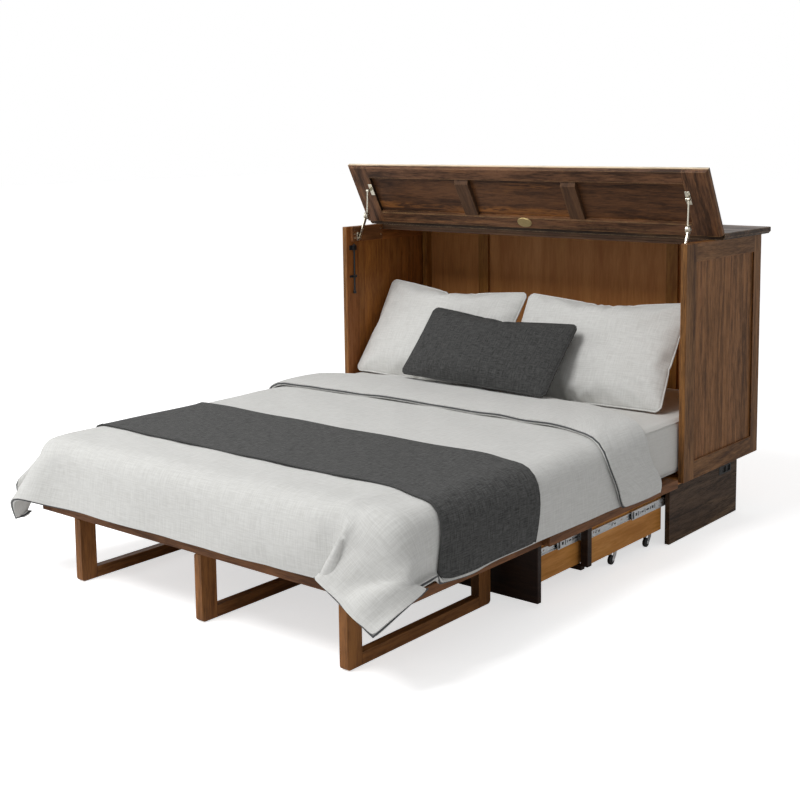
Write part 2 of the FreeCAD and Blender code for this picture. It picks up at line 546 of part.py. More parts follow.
# ---------------------------------------------------------------- base
def base():
    """A low box open to the front and below, which carries the cabinet and takes the carriage."""
    side = board(BASE_OUTER_X - BASE_BOARD_T, BASE_OUTER_X, 0, BASE_DEPTH - BASE_BOARD_T, 0, BASE_TOP_Z - BASE_BOARD_T)
    y0 = OUTLET_Y - OUTLET_LENGTH / 2
    socket_hole = box(BASE_OUTER_X - OUTLET_DEPTH, BASE_OUTER_X + 1, y0, y0 + OUTLET_LENGTH,
                      OUTLET_Z - OUTLET_H / 2, OUTLET_Z + OUTLET_H / 2)
    inner_x = BASE_OUTER_X - BASE_BOARD_T
    back = board(-BASE_OUTER_X, BASE_OUTER_X, BASE_DEPTH - BASE_BOARD_T, BASE_DEPTH, 0, BASE_TOP_Z - BASE_BOARD_T)
    front = board(-inner_x, inner_x, 0, BASE_BOARD_T, BASE_TOP_Z - BASE_BOARD_T - BASE_FRONT_RAIL_H,
                  BASE_TOP_Z - BASE_BOARD_T)
    node("base_frame", side.cut(socket_hole), mirrored(side), back, front)

    z0 = BASE_TOP_Z - BASE_BOARD_T
    top = box(-BASE_OUTER_X, BASE_OUTER_X, 0, SIDE_FRONT_Y, z0, BASE_TOP_Z)
    nose = [e for e in top.Edges if e.BoundBox.ZMin > BASE_TOP_Z - 0.1 and e.BoundBox.YMax < 0.1]
    top = top.makeFillet(BASE_TOP_Z - FRONT_AXIS_Z, nose)
    top = top.fuse(box(-SIDE_INNER_X, SIDE_INNER_X, SIDE_FRONT_Y, BACK_PANEL_Y + BACK_PANEL_T, z0, BASE_TOP_Z))
    for x in HINGE_X:
        half = HINGE_LENGTH / 2 + 1
        top = top.cut(box(x - half, x + half, -1, FRONT_AXIS_Y + KNUCKLE_R + 1.5, z0 - 1, BASE_TOP_Z + 1))
        top = top.cut(box(x - half, x + half, 0, FRONT_AXIS_Y + KNUCKLE_R + 24, z0 + 3, BASE_TOP_Z + 1))
    node("base_top", top.removeSplitter())
    node("inner_deck", board(-MATTRESS_WIDTH / 2, MATTRESS_WIDTH / 2, DECK_FRONT_Y, BACK_PANEL_Y - BACK_BATTEN_T - 3,
                             BASE_TOP_Z, BASE_TOP_Z + DECK_T))

    cup = box(BASE_OUTER_X - OUTLET_DEPTH, BASE_OUTER_X + 1.5, y0, y0 + OUTLET_LENGTH,
              OUTLET_Z - OUTLET_H / 2, OUTLET_Z + OUTLET_H / 2)
    cup = cup.makeFillet(1.0, [e for e in cup.Edges if e.BoundBox.XMin > BASE_OUTER_X + 1])
    for centre in (OUTLET_Y - 8, OUTLET_Y + 26):
        face = box(BASE_OUTER_X - 3, BASE_OUTER_X + 2, centre - 14, centre + 14, OUTLET_Z - 11, OUTLET_Z + 11)
        cup = cup.cut(face.makeFillet(3.0, [e for e in face.Edges if e.BoundBox.XLength > 1]))
        for dy in (-5, 5):
            cup = cup.cut(box(BASE_OUTER_X - 10, BASE_OUTER_X, centre + dy - 0.8, centre + dy + 0.8,
                              OUTLET_Z - 1, OUTLET_Z + 6))
        cup = cup.cut(rod_x(BASE_OUTER_X - 10, BASE_OUTER_X, centre, OUTLET_Z - 5, 2.2))
    lamp = rod_x(BASE_OUTER_X, BASE_OUTER_X + 2.4, OUTLET_Y - 36, OUTLET_Z, 2.6)
    node("power_outlet", cup.fuse(lamp).removeSplitter())


def front_hinge_pair(x):
    """Hinge between the base and the front panel: knuckles on a leaf let into the base top, pin in the middle."""
    outer_spans, (m0, m1) = knuckle_spans(x)
    y, z, r = FRONT_AXIS_Y, FRONT_AXIS_Z, KNUCKLE_R
    floor_z = BASE_TOP_Z - BASE_BOARD_T + 3
    fixed = box(x - HINGE_LENGTH / 2, x + HINGE_LENGTH / 2, y + r + 1.5, y + r + 22, floor_z, floor_z + HINGE_LEAF_T)
    for a, b in outer_spans:
        fixed = fixed.fuse(barrel(a, b, y, z, r, 0)).fuse(box(a, b, y, y + r + 2, floor_z, floor_z + HINGE_LEAF_T + 1))
        fixed = fixed.fuse(box(a, b, y, y + r, floor_z, z))
    fixed = fixed.fuse(rod_x(x - HINGE_LENGTH / 2, x + HINGE_LENGTH / 2, y, z, HINGE_PIN_R))
    leaf_y1 = FRONT_PANEL_Y1
    moving = box(x - HINGE_LENGTH / 2, x + HINGE_LENGTH / 2, leaf_y1 - HINGE_LEAF_T, leaf_y1, z - r, PANEL_TOP_Z - 2)
    a, b = m0 + KNUCKLE_GAP, m1 - KNUCKLE_GAP
    moving = moving.fuse(box(a, b, leaf_y1 - 1, y, z - 2, z + 2)).fuse(barrel(a, b, y, z, r, 0))
    moving = moving.cut(rod_x(a - 1, b + 1, y, z, HINGE_PIN_R + HINGE_PIN_CLEARANCE))
    return fixed.removeSplitter(), moving.removeSplitter()


def seam_hinge_pair(x):
    """Hinge between the two folding panels, let into their top faces."""
    outer_spans, (m0, m1) = knuckle_spans(x)
    y, z, r = SEAM_Y, SEAM_AXIS_Z, SEAM_KNUCKLE_R
    z0, z1 = PANEL_TOP_Z - SEAM_LEAF_T, PANEL_TOP_Z
    room = rod_x(x - HINGE_LENGTH, x + HINGE_LENGTH, y, z, r + KNUCKLE_GAP)
    fixed = box(x - HINGE_LENGTH / 2, x + HINGE_LENGTH / 2, y, y + LID_LEAF_W, z0, z1).cut(room)
    moving = box(x - HINGE_LENGTH / 2, x + HINGE_LENGTH / 2, y - LID_LEAF_W, y, z0, z1).cut(room)
    for a, b in outer_spans:
        fixed = fixed.fuse(barrel(a, b, y, z, r, 0)).fuse(box(a, b, y, y + r + 2, z0, z1))
    fixed = fixed.fuse(rod_x(x - HINGE_LENGTH / 2, x + HINGE_LENGTH / 2, y, z, SEAM_PIN_R))
    a, b = m0 + KNUCKLE_GAP, m1 - KNUCKLE_GAP
    middle = barrel(a, b, y, z, r, 0).fuse(box(a, b, y - r - 2, y, z0, z1))
    middle = middle.cut(rod_x(a - 1, b + 1, y, z, SEAM_PIN_R + HINGE_PIN_CLEARANCE))
    return fixed.removeSplitter(), moving.fuse(middle).removeSplitter()


def hinges():
    """All the hinges, each half with the piece that it moves with."""
    lid_halves = [lid_hinge_pair(x) for x in HINGE_X]
    front_halves = [front_hinge_pair(x) for x in HINGE_X]
    seam_halves = [seam_hinge_pair(x) for x in HINGE_X]
    node("cabinet_hinge_leaves", [h[0] for h in lid_halves], [h[0] for h in front_halves])
    node("lid_hardware", [lid_open(h[1]) for h in lid_halves], LID_BRACKETS)
    node("front_panel_hinge_leaves", [h[1] for h in front_halves], [h[0] for h in seam_halves])
    node("foot_panel_hinge_leaves", [h[1] for h in seam_halves])


# ---------------------------------------------------------------- folding platform
def panel_frame(half, y0, y1, bays):
    """The frame of a folding panel, with grooves for the boards between its rails."""
    ring = eased(box(-half, half, y0, y1, PANEL_UNDERSIDE_Z, PANEL_TOP_Z), WOOD_EDGE)
    width = (2 * half - (bays + 1) * PANEL_RAIL_W) / bays
    z0 = PANEL_TOP_Z - PANEL_BOARD_T - 6
    boards = []
    for i in range(bays):
        x0 = -half + PANEL_RAIL_W + i * (width + PANEL_RAIL_W)
        ring = ring.cut(box(x0, x0 + width, y0 + PANEL_RAIL_W, y1 - PANEL_RAIL_W, 0, PANEL_TOP_Z + 1))
        slab = box(x0 - SIDE_PANEL_TONGUE, x0 + width + SIDE_PANEL_TONGUE, y0 + PANEL_RAIL_W - SIDE_PANEL_TONGUE,
                   y1 - PANEL_RAIL_W + SIDE_PANEL_TONGUE, z0, z0 + PANEL_BOARD_T)
        ring = ring.cut(slab)
        boards.append(slab)
    return ring, boards


def front_panel():
    """The cabinet's front, which folds down to carry the middle of the bed."""
    ring, boards = panel_frame(SIDE_OUTER_X, FRONT_PANEL_Y0, FRONT_PANEL_Y1, 3)
    for x in HINGE_X:
        half = HINGE_LENGTH / 2
        ring = ring.cut(box(x - half, x + half, FRONT_PANEL_Y1 - HINGE_LEAF_T, FRONT_PANEL_Y1 + 1,
                            FRONT_AXIS_Z - KNUCKLE_R, PANEL_TOP_Z - 2))
        ring = ring.cut(box(x - half, x + half, SEAM_Y, SEAM_Y + LID_LEAF_W, PANEL_TOP_Z - SEAM_LEAF_T, PANEL_TOP_Z + 1))
        ring = ring.cut(knuckle_relief(x, SEAM_Y, SEAM_AXIS_Z, SEAM_KNUCKLE_R))
    node("front_panel_frame", ring)
    node("front_panel_boards", boards)


def foot_panel():
    """The panel under the foot of the bed, narrow enough to stow between the cabinet's sides."""
    ring, boards = panel_frame(FOOT_PANEL_HALF, FOOT_PANEL_Y0, FOOT_PANEL_Y1, 3)
    for x in HINGE_X:
        half = HINGE_LENGTH / 2
        ring = ring.cut(box(x - half, x + half, SEAM_Y - LID_LEAF_W, SEAM_Y, PANEL_TOP_Z - SEAM_LEAF_T, PANEL_TOP_Z + 1))
        ring = ring.cut(knuckle_relief(x, SEAM_Y, SEAM_AXIS_Z, SEAM_KNUCKLE_R))
    node("foot_panel_frame", ring)
    node("foot_panel_boards", boards)


LEG_Y0 = -PLATFORM_REACH
LEG_Y1 = LEG_Y0 + LEG_LENGTH
LEG_TOP_Z = PANEL_UNDERSIDE_Z - LEG_TOP_GAP
LEG_PIVOT_Z = LEG_TOP_Z - LEG_PIVOT_INSET
# name, x of the inboard face that the leg folds towards, and the direction outboard of it
LEGS = (("leg_right", LEG_OUTER_X - LEG_T, 1), ("leg_middle", -LEG_T / 2, 1), ("leg_left", LEG_T - LEG_OUTER_X, -1))


def leg_pivot_x(inboard, way):
    return inboard + way * LEG_PIVOT_INSET


def sled_leg(inboard, way):
    """A leg like a sled runner: two posts and a bar, rounded where it meets the floor and at its folding corner."""
    x0 = min(inboard, inboard + way * LEG_T)
    r = LEG_CORNER_R
    outer = box(x0, x0 + LEG_T, LEG_Y0, LEG_Y1, 0, LEG_TOP_Z)
    corners = [e for e in outer.Edges if e.BoundBox.ZMax < 0.1 and e.BoundBox.XLength > 1]
    outer = outer.makeFillet(r, corners)
    leg = outer.cut(box(x0 - 1, x0 + LEG_T + 1, LEG_Y0 + LEG_POST_W, LEG_Y1 - LEG_POST_W, LEG_BAR_H, LEG_TOP_Z + 1))
    top_edges = [e for e in leg.Edges if e.BoundBox.ZMin > LEG_TOP_Z - 0.1 and e.BoundBox.YLength > 1
                 and abs(e.BoundBox.XMin - inboard) < 0.1]
    leg = leg.makeFillet(LEG_PIVOT_INSET - 0.2, top_edges)
    long_edges = [e for e in leg.Edges if e.BoundBox.XLength < 0.1 and e.BoundBox.ZMax < LEG_TOP_Z - 12]
    leg = leg.makeFillet(1.5, long_edges)
    px = leg_pivot_x(inboard, way)
    for a, b in ((LEG_Y0 + LEG_POST_W - LEG_PIN_REACH - 1, LEG_Y0 + LEG_POST_W + 1),
                 (LEG_Y1 - LEG_POST_W - 1, LEG_Y1 - LEG_POST_W + LEG_PIN_REACH + 1)):
        leg = leg.cut(rod(V(px, a, LEG_PIVOT_Z), V(px, b, LEG_PIVOT_Z), LEG_PIN_R + LEG_PIN_CLEARANCE))
    return leg


def leg_brackets(inboard, way):
    """A steel angle beside each post, with the pin that the leg folds on."""
    px = leg_pivot_x(inboard, way)
    made = []
    for face, out in ((LEG_Y0 + LEG_POST_W, -1), (LEG_Y1 - LEG_POST_W, 1)):
        y0 = face - out * 0.6
        cheek_y = sorted((y0, y0 - out * LEG_BRACKET_T))
        cheek = box(px - 14, px + 14, *cheek_y, LEG_PIVOT_Z - 9, PANEL_UNDERSIDE_Z)
        base_y = sorted((y0, y0 - out * 34))
        plate = box(px - 14, px + 14, *base_y, PANEL_UNDERSIDE_Z - LEG_BRACKET_T, PANEL_UNDERSIDE_Z)
        pin = rod(V(px, y0 - out * LEG_BRACKET_T, LEG_PIVOT_Z), V(px, face + out * LEG_PIN_REACH, LEG_PIVOT_Z), LEG_PIN_R)
        made.append(cheek.fuse(plate).fuse(pin).removeSplitter())
    return made


def legs():
    for name, inboard, way in LEGS:
        node(name, sled_leg(inboard, way))


def crossrail():
    """The arched rail behind the rear posts, and the steel catches that hold the legs upright against it."""
    y0 = LEG_Y1 + CROSSRAIL_GAP
    half = LEG_OUTER_X - LEG_T - 4
    foot_z = PANEL_UNDERSIDE_Z - CROSSRAIL_END_H
    crown_z = foot_z + CROSSRAIL_ARCH_RISE
    land = 46.0
    pieces = []
    for x0, x1 in ((-half, -LEG_T / 2 - 4), (LEG_T / 2 + 4, half)):
        mid = (x0 + x1) / 2
        edges = [Part.makeLine(V(x0, y0, PANEL_UNDERSIDE_Z), V(x0, y0, foot_z)),
                 Part.makeLine(V(x0, y0, foot_z), V(x0 + land, y0, foot_z)),
                 Part.Arc(V(x0 + land, y0, foot_z), V(mid, y0, crown_z), V(x1 - land, y0, foot_z)).toShape(),
                 Part.makeLine(V(x1 - land, y0, foot_z), V(x1, y0, foot_z)),
                 Part.makeLine(V(x1, y0, foot_z), V(x1, y0, PANEL_UNDERSIDE_Z)),
                 Part.makeLine(V(x1, y0, PANEL_UNDERSIDE_Z), V(x0, y0, PANEL_UNDERSIDE_Z))]
        pieces.append(Part.Face(Part.Wire(edges)).extrude(V(0, CROSSRAIL_T, 0)))
    node("arched_crossrail", pieces)
    catches = []
    for name, inboard, way in LEGS:
        x_near = inboard - way * 6
        a, b = sorted((x_near, x_near - way * 24))
        catches.append(board(a, b, y0 - CATCH_T, y0, foot_z + 8, foot_z + 48, BOARD_EDGE))
    brackets = [b for _, inboard, way in LEGS for b in leg_brackets(inboard, way)]
    node("leg_brackets_and_catches", brackets, catches)


# ---------------------------------------------------------------- slides
def channel(x_web, way, depth, height, y0, y1):
    """A pressed channel: its web at x_web, its flanges reaching the given way."""
    x_tip = x_web + way * depth
    a, b = sorted((x_web, x_tip))
    solid = box(a, b, y0, y1, SLIDE_Z - height / 2, SLIDE_Z + height / 2)
    c, d = sorted((x_web + way * SLIDE_STEEL, x_tip + way))
    return solid.cut(box(c, d, y0 - 1, y1 + 1, SLIDE_Z - height / 2 + SLIDE_STEEL, SLIDE_Z + height / 2 - SLIDE_STEEL))


def slide_outer(wall_x, y0, y1):
    """The channel screwed to the piece that the slide hangs from; wall_x is that piece's face."""
    return channel(wall_x, -1, 8.2, SLIDE_OUTER_H, y0, y1)


def slide_middle(wall_x, y0, y1):
    """The channel that runs in the outer one, with its end stops."""
    body = channel(wall_x - 2.4, -1, 8.4, SLIDE_MIDDLE_H, y0, y1)
    x0, x1 = wall_x - 9.8, wall_x - 3.4
    stop = box(x0, x1, y0, y0 + 10, SLIDE_Z - SLIDE_MIDDLE_H / 2 + 1, SLIDE_Z + SLIDE_MIDDLE_H / 2 - 1)
    stop = stop.cut(box(x0 - 1, x1 - 2, y0 - 1, y0 + 11, SLIDE_Z - SLIDE_INNER_H / 2 - 0.8, SLIDE_Z + SLIDE_INNER_H / 2 + 0.8))
    return body.fuse(stop).removeSplitter()


def slide_inner(wall_x, y0, y1):
    """The channel screwed to the moving piece, with its row of fixing holes."""
    rail = channel(wall_x - SLIDE_T, 1, 6.4, SLIDE_INNER_H, y0, y1)
    for along in (24, 60, 200, 236):
        rail = rail.cut(rod_x(wall_x - SLIDE_T - 1, wall_x - SLIDE_T + 3, y0 + along, SLIDE_Z, 2.6))
    return rail


# ---------------------------------------------------------------- carriage
CARRIAGE_Y0 = CARRIAGE_CLOSED_Y - CARRIAGE_OUT
CARRIAGE_Y1 = CARRIAGE_Y0 + CARRIAGE_LENGTH
BASE_INNER_X = BASE_OUTER_X - BASE_BOARD_T
CARRIAGE_OUTER_X = BASE_INNER_X - SLIDE_T
CARRIAGE_INNER_X = CARRIAGE_OUTER_X - CARRIAGE_BOARD_T
DRAWER_OUTER_X = CARRIAGE_INNER_X - SLIDE_T
DRAWER_INNER_X = DRAWER_OUTER_X - CARRIAGE_BOARD_T
BASE_SLIDE_Y = (CARRIAGE_CLOSED_Y + CARRIAGE_FRONT_T + 4, BASE_DEPTH - BASE_BOARD_T - 8)
DRAWER_CLOSED_Y0 = CARRIAGE_Y0 - DRAWER_FRONT_GAP - DRAWER_FRONT_T
DRAWER_Y0 = DRAWER_CLOSED_Y0 - DRAWER_OUT
DRAWER_SIDE_Y0 = DRAWER_Y0 + DRAWER_FRONT_T
DRAWER_CASTER_Y = DRAWER_SIDE_Y0 + DRAWER_BOX_LENGTH - DRAWER_CASTER_INSET


def carriage():
    """The outer rolling box: two sides and a back behind a front frame that the drawer passes through."""
    side_y0 = CARRIAGE_Y0 + CARRIAGE_FRONT_T
    side = board(CARRIAGE_INNER_X, CARRIAGE_OUTER_X, side_y0, CARRIAGE_Y1, CARRIAGE_BOTTOM_Z, CARRIAGE_TOP_Z)
    back = board(-CARRIAGE_INNER_X, CARRIAGE_INNER_X, CARRIAGE_Y1 - CARRIAGE_BOARD_T, CARRIAGE_Y1,
                 CARRIAGE_BOTTOM_Z, CARRIAGE_TOP_Z)
    node("carriage_box", both_sides(side), back)
    outer = BASE_INNER_X - CARRIAGE_FRONT_GAP
    stile = board(CARRIAGE_INNER_X, outer, CARRIAGE_Y0, side_y0, CARRIAGE_BOTTOM_Z, CARRIAGE_TOP_Z, BOARD_EDGE)
    tie = board(-CARRIAGE_INNER_X, CARRIAGE_INNER_X, CARRIAGE_Y0 + 3, side_y0, CARRIAGE_BOTTOM_Z - 16,
                CARRIAGE_BOTTOM_Z, BOARD_EDGE)
    node("carriage_front_frame", both_sides(stile), tie)
    node("base_slide_channels", both_sides(slide_outer(BASE_INNER_X, *BASE_SLIDE_Y)))
    half_out = CARRIAGE_OUT / 2
    node("carriage_slide_middles", both_sides(slide_middle(BASE_INNER_X, BASE_SLIDE_Y[0] - half_out,
                                                           BASE_SLIDE_Y[1] - half_out)))
    inner = slide_inner(BASE_INNER_X, side_y0 + 2, CARRIAGE_Y1 - 20)
    holder = slide_outer(CARRIAGE_INNER_X, CARRIAGE_Y0 + 2, CARRIAGE_Y1 - CARRIAGE_BOARD_T - 8)
    plates = [caster_plate(x, y, CARRIAGE_BOTTOM_Z, CASTER_PLATE[2]) for _, x, y in CASTERS]
    node("carriage_hardware", both_sides(inner), both_sides(holder), plates)


def drawer():
    """The storage drawer that runs out of the carriage."""
    front = board(-DRAWER_FRONT_HALF, DRAWER_FRONT_HALF, DRAWER_Y0, DRAWER_SIDE_Y0, *DRAWER_FRONT_Z, WOOD_EDGE)
    node("drawer_front", front)
    side_y1 = DRAWER_SIDE_Y0 + DRAWER_BOX_LENGTH
    bottom_z = DRAWER_BOTTOM_Z + DRAWER_BOTTOM_RISE
    bottom = box(-DRAWER_INNER_X - DRAWER_BOTTOM_GROOVE, DRAWER_INNER_X + DRAWER_BOTTOM_GROOVE,
                 DRAWER_SIDE_Y0, side_y1 - CARRIAGE_BOARD_T + DRAWER_BOTTOM_GROOVE, bottom_z, bottom_z + DRAWER_BOTTOM_T)
    side = board(DRAWER_INNER_X, DRAWER_OUTER_X, DRAWER_SIDE_Y0, side_y1, DRAWER_BOTTOM_Z, DRAWER_TOP_Z)
    back = board(-DRAWER_INNER_X, DRAWER_INNER_X, side_y1 - CARRIAGE_BOARD_T, side_y1, DRAWER_BOTTOM_Z, DRAWER_TOP_Z)
    node("drawer_box", [part.cut(bottom) for part in both_sides(side) + [back]])
    node("drawer_bottom", bottom)
    middle_y0 = CARRIAGE_Y0 - 1.5 - DRAWER_OUT / 2
    node("drawer_slide_middles", both_sides(slide_middle(CARRIAGE_INNER_X, middle_y0, middle_y0 + DRAWER_MIDDLE_LENGTH)))
    node("drawer_slide_rails", both_sides(slide_inner(CARRIAGE_INNER_X, DRAWER_SIDE_Y0 + 2, side_y1 - 10)))


# ---------------------------------------------------------------- casters
def caster_plate(x, y, z1, drop):
    """The top plate and hub of a swivel caster; the plate's top is at z1 and drop is its thickness."""
    length, width, _ = CASTER_PLATE
    plate = board(x - length / 2, x + length / 2, y - width / 2, y + width / 2, z1 - drop, z1, 0.6)
    hub_z = CARRIAGE_BOTTOM_Z - CASTER_PLATE[2] - CASTER_HUB_H
    hub = rod(V(x, y, hub_z), V(x, y, z1 - drop), CASTER_HUB_R)
    pin = rod(V(x, y, hub_z - 5), V(x, y, hub_z), SWIVEL_PIN_R)
    return plate.fuse(hub).fuse(pin).removeSplitter()


def caster_fork(x, y, trail=CASTER_TRAIL):
    """The fork of a caster with its axle, the trail being how far the axle lies towards the foot of the bed."""
    z1 = CARRIAGE_BOTTOM_Z - CASTER_PLATE[2] - CASTER_HUB_H - FORK_GAP
    axle_y = y - trail
    toe, heel = (5, 6) if trail > 0 else (-5, -6)
    crown = rod(V(x, y, z1 - FORK_T), V(x, y, z1), CASTER_HUB_R - 0.5)
    crown = crown.cut(rod(V(x, y, z1 - 9), V(x, y, z1 + 1), SWIVEL_PIN_R + 0.05))
    inner = WHEEL_W / 2 + 1.0
    fork = crown
    for side in (-1, 1):
        a, b = sorted((x + side * inner, x + side * (inner + FORK_T)))
        front, back = (y - 9, y + 9) if trail > 0 else (y + 9, y - 9)
        outline = [(a, front, z1), (a, back, z1), (a, y + heel, z1 - 12), (a, axle_y + heel, WHEEL_R - 4),
                   (a, axle_y - toe, WHEEL_R - 4), (a, axle_y - toe, WHEEL_R + 5)]
        cheek = polygon_prism(outline, V(b - a, 0, 0))
        top = box(min(x, a), max(x, b), y - 8, y + 8, z1 - FORK_T, z1)
        top = top.cut(rod(V(x, y, z1 - 9), V(x, y, z1 + 1), SWIVEL_PIN_R + 0.05))
        fork = fork.fuse(cheek).fuse(top)
    reach = inner + FORK_T + 1.2
    return fork.fuse(rod_x(x - reach, x + reach, axle_y, WHEEL_R, AXLE_R)).removeSplitter()


def caster_wheel(x, y, trail=CASTER_TRAIL):
    """A rubber wheel on its axle."""
    wheel = rod_x(x - WHEEL_W / 2, x + WHEEL_W / 2, y - trail, WHEEL_R, WHEEL_R)
    wheel = wheel.makeFillet(3.0, [e for e in wheel.Edges if e.BoundBox.YLength > 2 * WHEEL_R - 1])
    return wheel.cut(rod_x(x - WHEEL_W, x + WHEEL_W, y - trail, WHEEL_R, WHEEL_BORE_R))


CASTERS = [(f"{end}_{side}", way * CASTER_X, y) for end, y in zip(("front", "rear"), CASTER_Y)
           for side, way in (("left", -1), ("right", 1))]


def casters():
    for name, x, y in CASTERS:
        node(f"caster_fork_{name}", caster_fork(x, y))
        node(f"caster_wheel_{name}", caster_wheel(x, y))
    drop = DRAWER_BOTTOM_Z - CARRIAGE_BOTTOM_Z + CASTER_PLATE[2]
    rigid = []
    for x in (-DRAWER_CASTER_X, DRAWER_CASTER_X):
        plate = caster_plate(x, DRAWER_CASTER_Y, DRAWER_BOTTOM_Z, drop)
        fork = caster_fork(x, DRAWER_CASTER_Y, -CASTER_TRAIL)
        neck_z = CARRIAGE_BOTTOM_Z - CASTER_PLATE[2] - CASTER_HUB_H
        neck = rod(V(x, DRAWER_CASTER_Y, neck_z - FORK_GAP - FORK_T), V(x, DRAWER_CASTER_Y, neck_z), 6.0)
        rigid.append(plate.fuse(fork).fuse(neck).removeSplitter())
    node("drawer_caster_forks", rigid)
    wheels = [caster_wheel(x, DRAWER_CASTER_Y, -CASTER_TRAIL) for x in (-DRAWER_CASTER_X, DRAWER_CASTER_X)]
    node("drawer_caster_wheels", wheels)


# ---------------------------------------------------------------- latches
def latches():
    """A black drop bolt on the inside of each front stile, which holds the stowed panels."""
    x = SIDE_INNER_X - LATCH_STAND
    z0 = LATCH_TOP_Z - LATCH_LENGTH
    bolt = rod(V(x, LATCH_Y, z0), V(x, LATCH_Y, LATCH_TOP_Z - 4), LATCH_ROD_R)
    knob = rod(V(x, LATCH_Y, z0 - 12), V(x, LATCH_Y, z0), LATCH_ROD_R + 2.5)
    knob = knob.makeFillet(1.5, [e for e in knob.Edges if e.BoundBox.ZLength < 0.1])
    node("panel_latch_bolts", both_sides(bolt.fuse(knob).removeSplitter()))
    guides = []
    for centre_z, height in ((LATCH_TOP_Z - LATCH_KEEPER_DROP, LATCH_KEEPER_H),
                             (z0 + LATCH_STRAP_RISE, LATCH_STRAP_H)):
        shoe = board(SIDE_INNER_X - 14.5, SIDE_INNER_X - LATCH_PLATE_T / 2, LATCH_Y - 9, LATCH_Y + 9,
                     centre_z - height / 2, centre_z + height / 2, 0.8)
        plate = board(SIDE_INNER_X - LATCH_PLATE_T, SIDE_INNER_X, LATCH_Y - 22, LATCH_Y + 22,
                      centre_z - height / 2, centre_z + height / 2, 0.8)
        guide = shoe.fuse(plate).cut(rod(V(x, LATCH_Y, centre_z - 20), V(x, LATCH_Y, centre_z + 20), LATCH_ROD_R + 0.05))
        guides.extend(both_sides(guide.removeSplitter()))
    node("latch_guides", guides)


# ---------------------------------------------------------------- bedding
def mattress():
    """The mattress in its fitted sheet, a boxed cushion with soft edges."""
    block = box(-MATTRESS_WIDTH / 2, MATTRESS_WIDTH / 2, MATTRESS_Y0, MATTRESS_Y1, MATTRESS_Z0, MATTRESS_Z1)
    upright = [e for e in block.Edges if e.BoundBox.ZLength > 1]
    block = block.makeFillet(2 * MATTRESS_EDGE_RADIUS, upright)
    rims = [e for e in block.Edges if e.BoundBox.ZLength < 0.1]
    node("mattress", block.makeFillet(MATTRESS_EDGE_RADIUS, rims))


def lens(x, half_height, half_depth):
    """A cushion's section across its width: two shallow arcs that meet in the seams."""
    low, high = V(x, 0, -half_height), V(x, 0, half_height)
    front = Part.Arc(low, V(x, -half_depth, 0), high).toShape()
    back = Part.Arc(high, V(x, half_depth, 0), low).toShape()
    return Part.Wire([front, back])


def cushion(size, stations=9):
    """A standing cushion: crowned front and back, with its edges drawn in between the corners."""
    width, height, depth = size
    wires = []
    for i in range(stations):
        u = -1 + 2 * i / (stations - 1)
        swell = max(0.0, 1 - abs(u) ** 2.6)
        drawn = 1 - 0.055 * (1 - u * u) ** 0.5 if abs(u) < 1 else 1.0
        wires.append(lens(u * width / 2, height / 2 * drawn, 4 + (depth / 2 - 4) * swell ** 0.7))
    return Part.makeLoft(wires, True, False)


def place_cushion(shape, x, foot_y, foot_z, lean, height, turn=0.0):
    """Stands a cushion on its lower seam and leans it back."""
    copy = shape.copy()
    copy.translate(V(0, 0, height / 2))
    copy.rotate(V(0, 0, 0), V(0, 1, 0), turn)
    copy.rotate(V(0, 0, 0), V(1, 0, 0), -lean)
    copy.translate(V(x, foot_y, foot_z))
    return copy


def pillows():
    """Two sleeping pillows against the cabinet and the long lumbar cushion in front of them."""
    pillow = cushion(PILLOW_SIZE)
    foot_z = MATTRESS_Z1 + CUSHION_REST
    for name, x, turn in (("pillow_left", PILLOW_LEFT_X, 1.0), ("pillow_right", PILLOW_RIGHT_X, -1.0)):
        node(name, place_cushion(pillow, x, PILLOW_FOOT_Y, foot_z, PILLOW_LEAN_DEG, PILLOW_SIZE[1], turn))
    lumbar = cushion(LUMBAR_SIZE)
    node("lumbar_cushion", place_cushion(lumbar, LUMBAR_X, LUMBAR_FOOT_Y, CUFF_TOP_Z + CUSHION_REST, LUMBAR_LEAN_DEG,
                                         LUMBAR_SIZE[1], 1.5))


def drape_outline(y, half, top_z, hem_z, thickness, radius):
    """The outline of a cover lying over the mattress and hanging down both its sides, cut square to the bed."""
    inner_half, inner_top, inner_r = half - thickness, top_z - thickness, radius - thickness

    def arch(h, t, r):
        d = r * (1 - sqrt(0.5))
        return ((V(-h, y, hem_z), V(-h, y, t - r)), (V(-h, y, t - r), V(-h + d, y, t - d), V(-h + r, y, t)),
                (V(-h + r, y, t), V(h - r, y, t)), (V(h - r, y, t), V(h - d, y, t - d), V(h, y, t - r)),
                (V(h, y, t - r), V(h, y, hem_z)))

    def edges(parts):
        return [Part.Arc(*p).toShape() if len(p) == 3 else Part.makeLine(*p) for p in parts]

    outside, inside = edges(arch(half, top_z, radius)), edges(arch(inner_half, inner_top, inner_r))
    left = Part.makeLine(V(-inner_half, y, hem_z), V(-half, y, hem_z))
    right = Part.makeLine(V(half, y, hem_z), V(inner_half, y, hem_z))
    return Part.Wire(Part.__sortEdges__(outside + [right] + inside + [left]))


DUVET_INNER_HALF = MATTRESS_WIDTH / 2 + DUVET_CLEARANCE
DUVET_TOP_Z = MATTRESS_Z1 + DUVET_CLEARANCE + DUVET_T
CUFF_SWELL = 8.0
CUFF_TOP_Z = DUVET_TOP_Z + DUVET_T + 6.0 + CUFF_SWELL


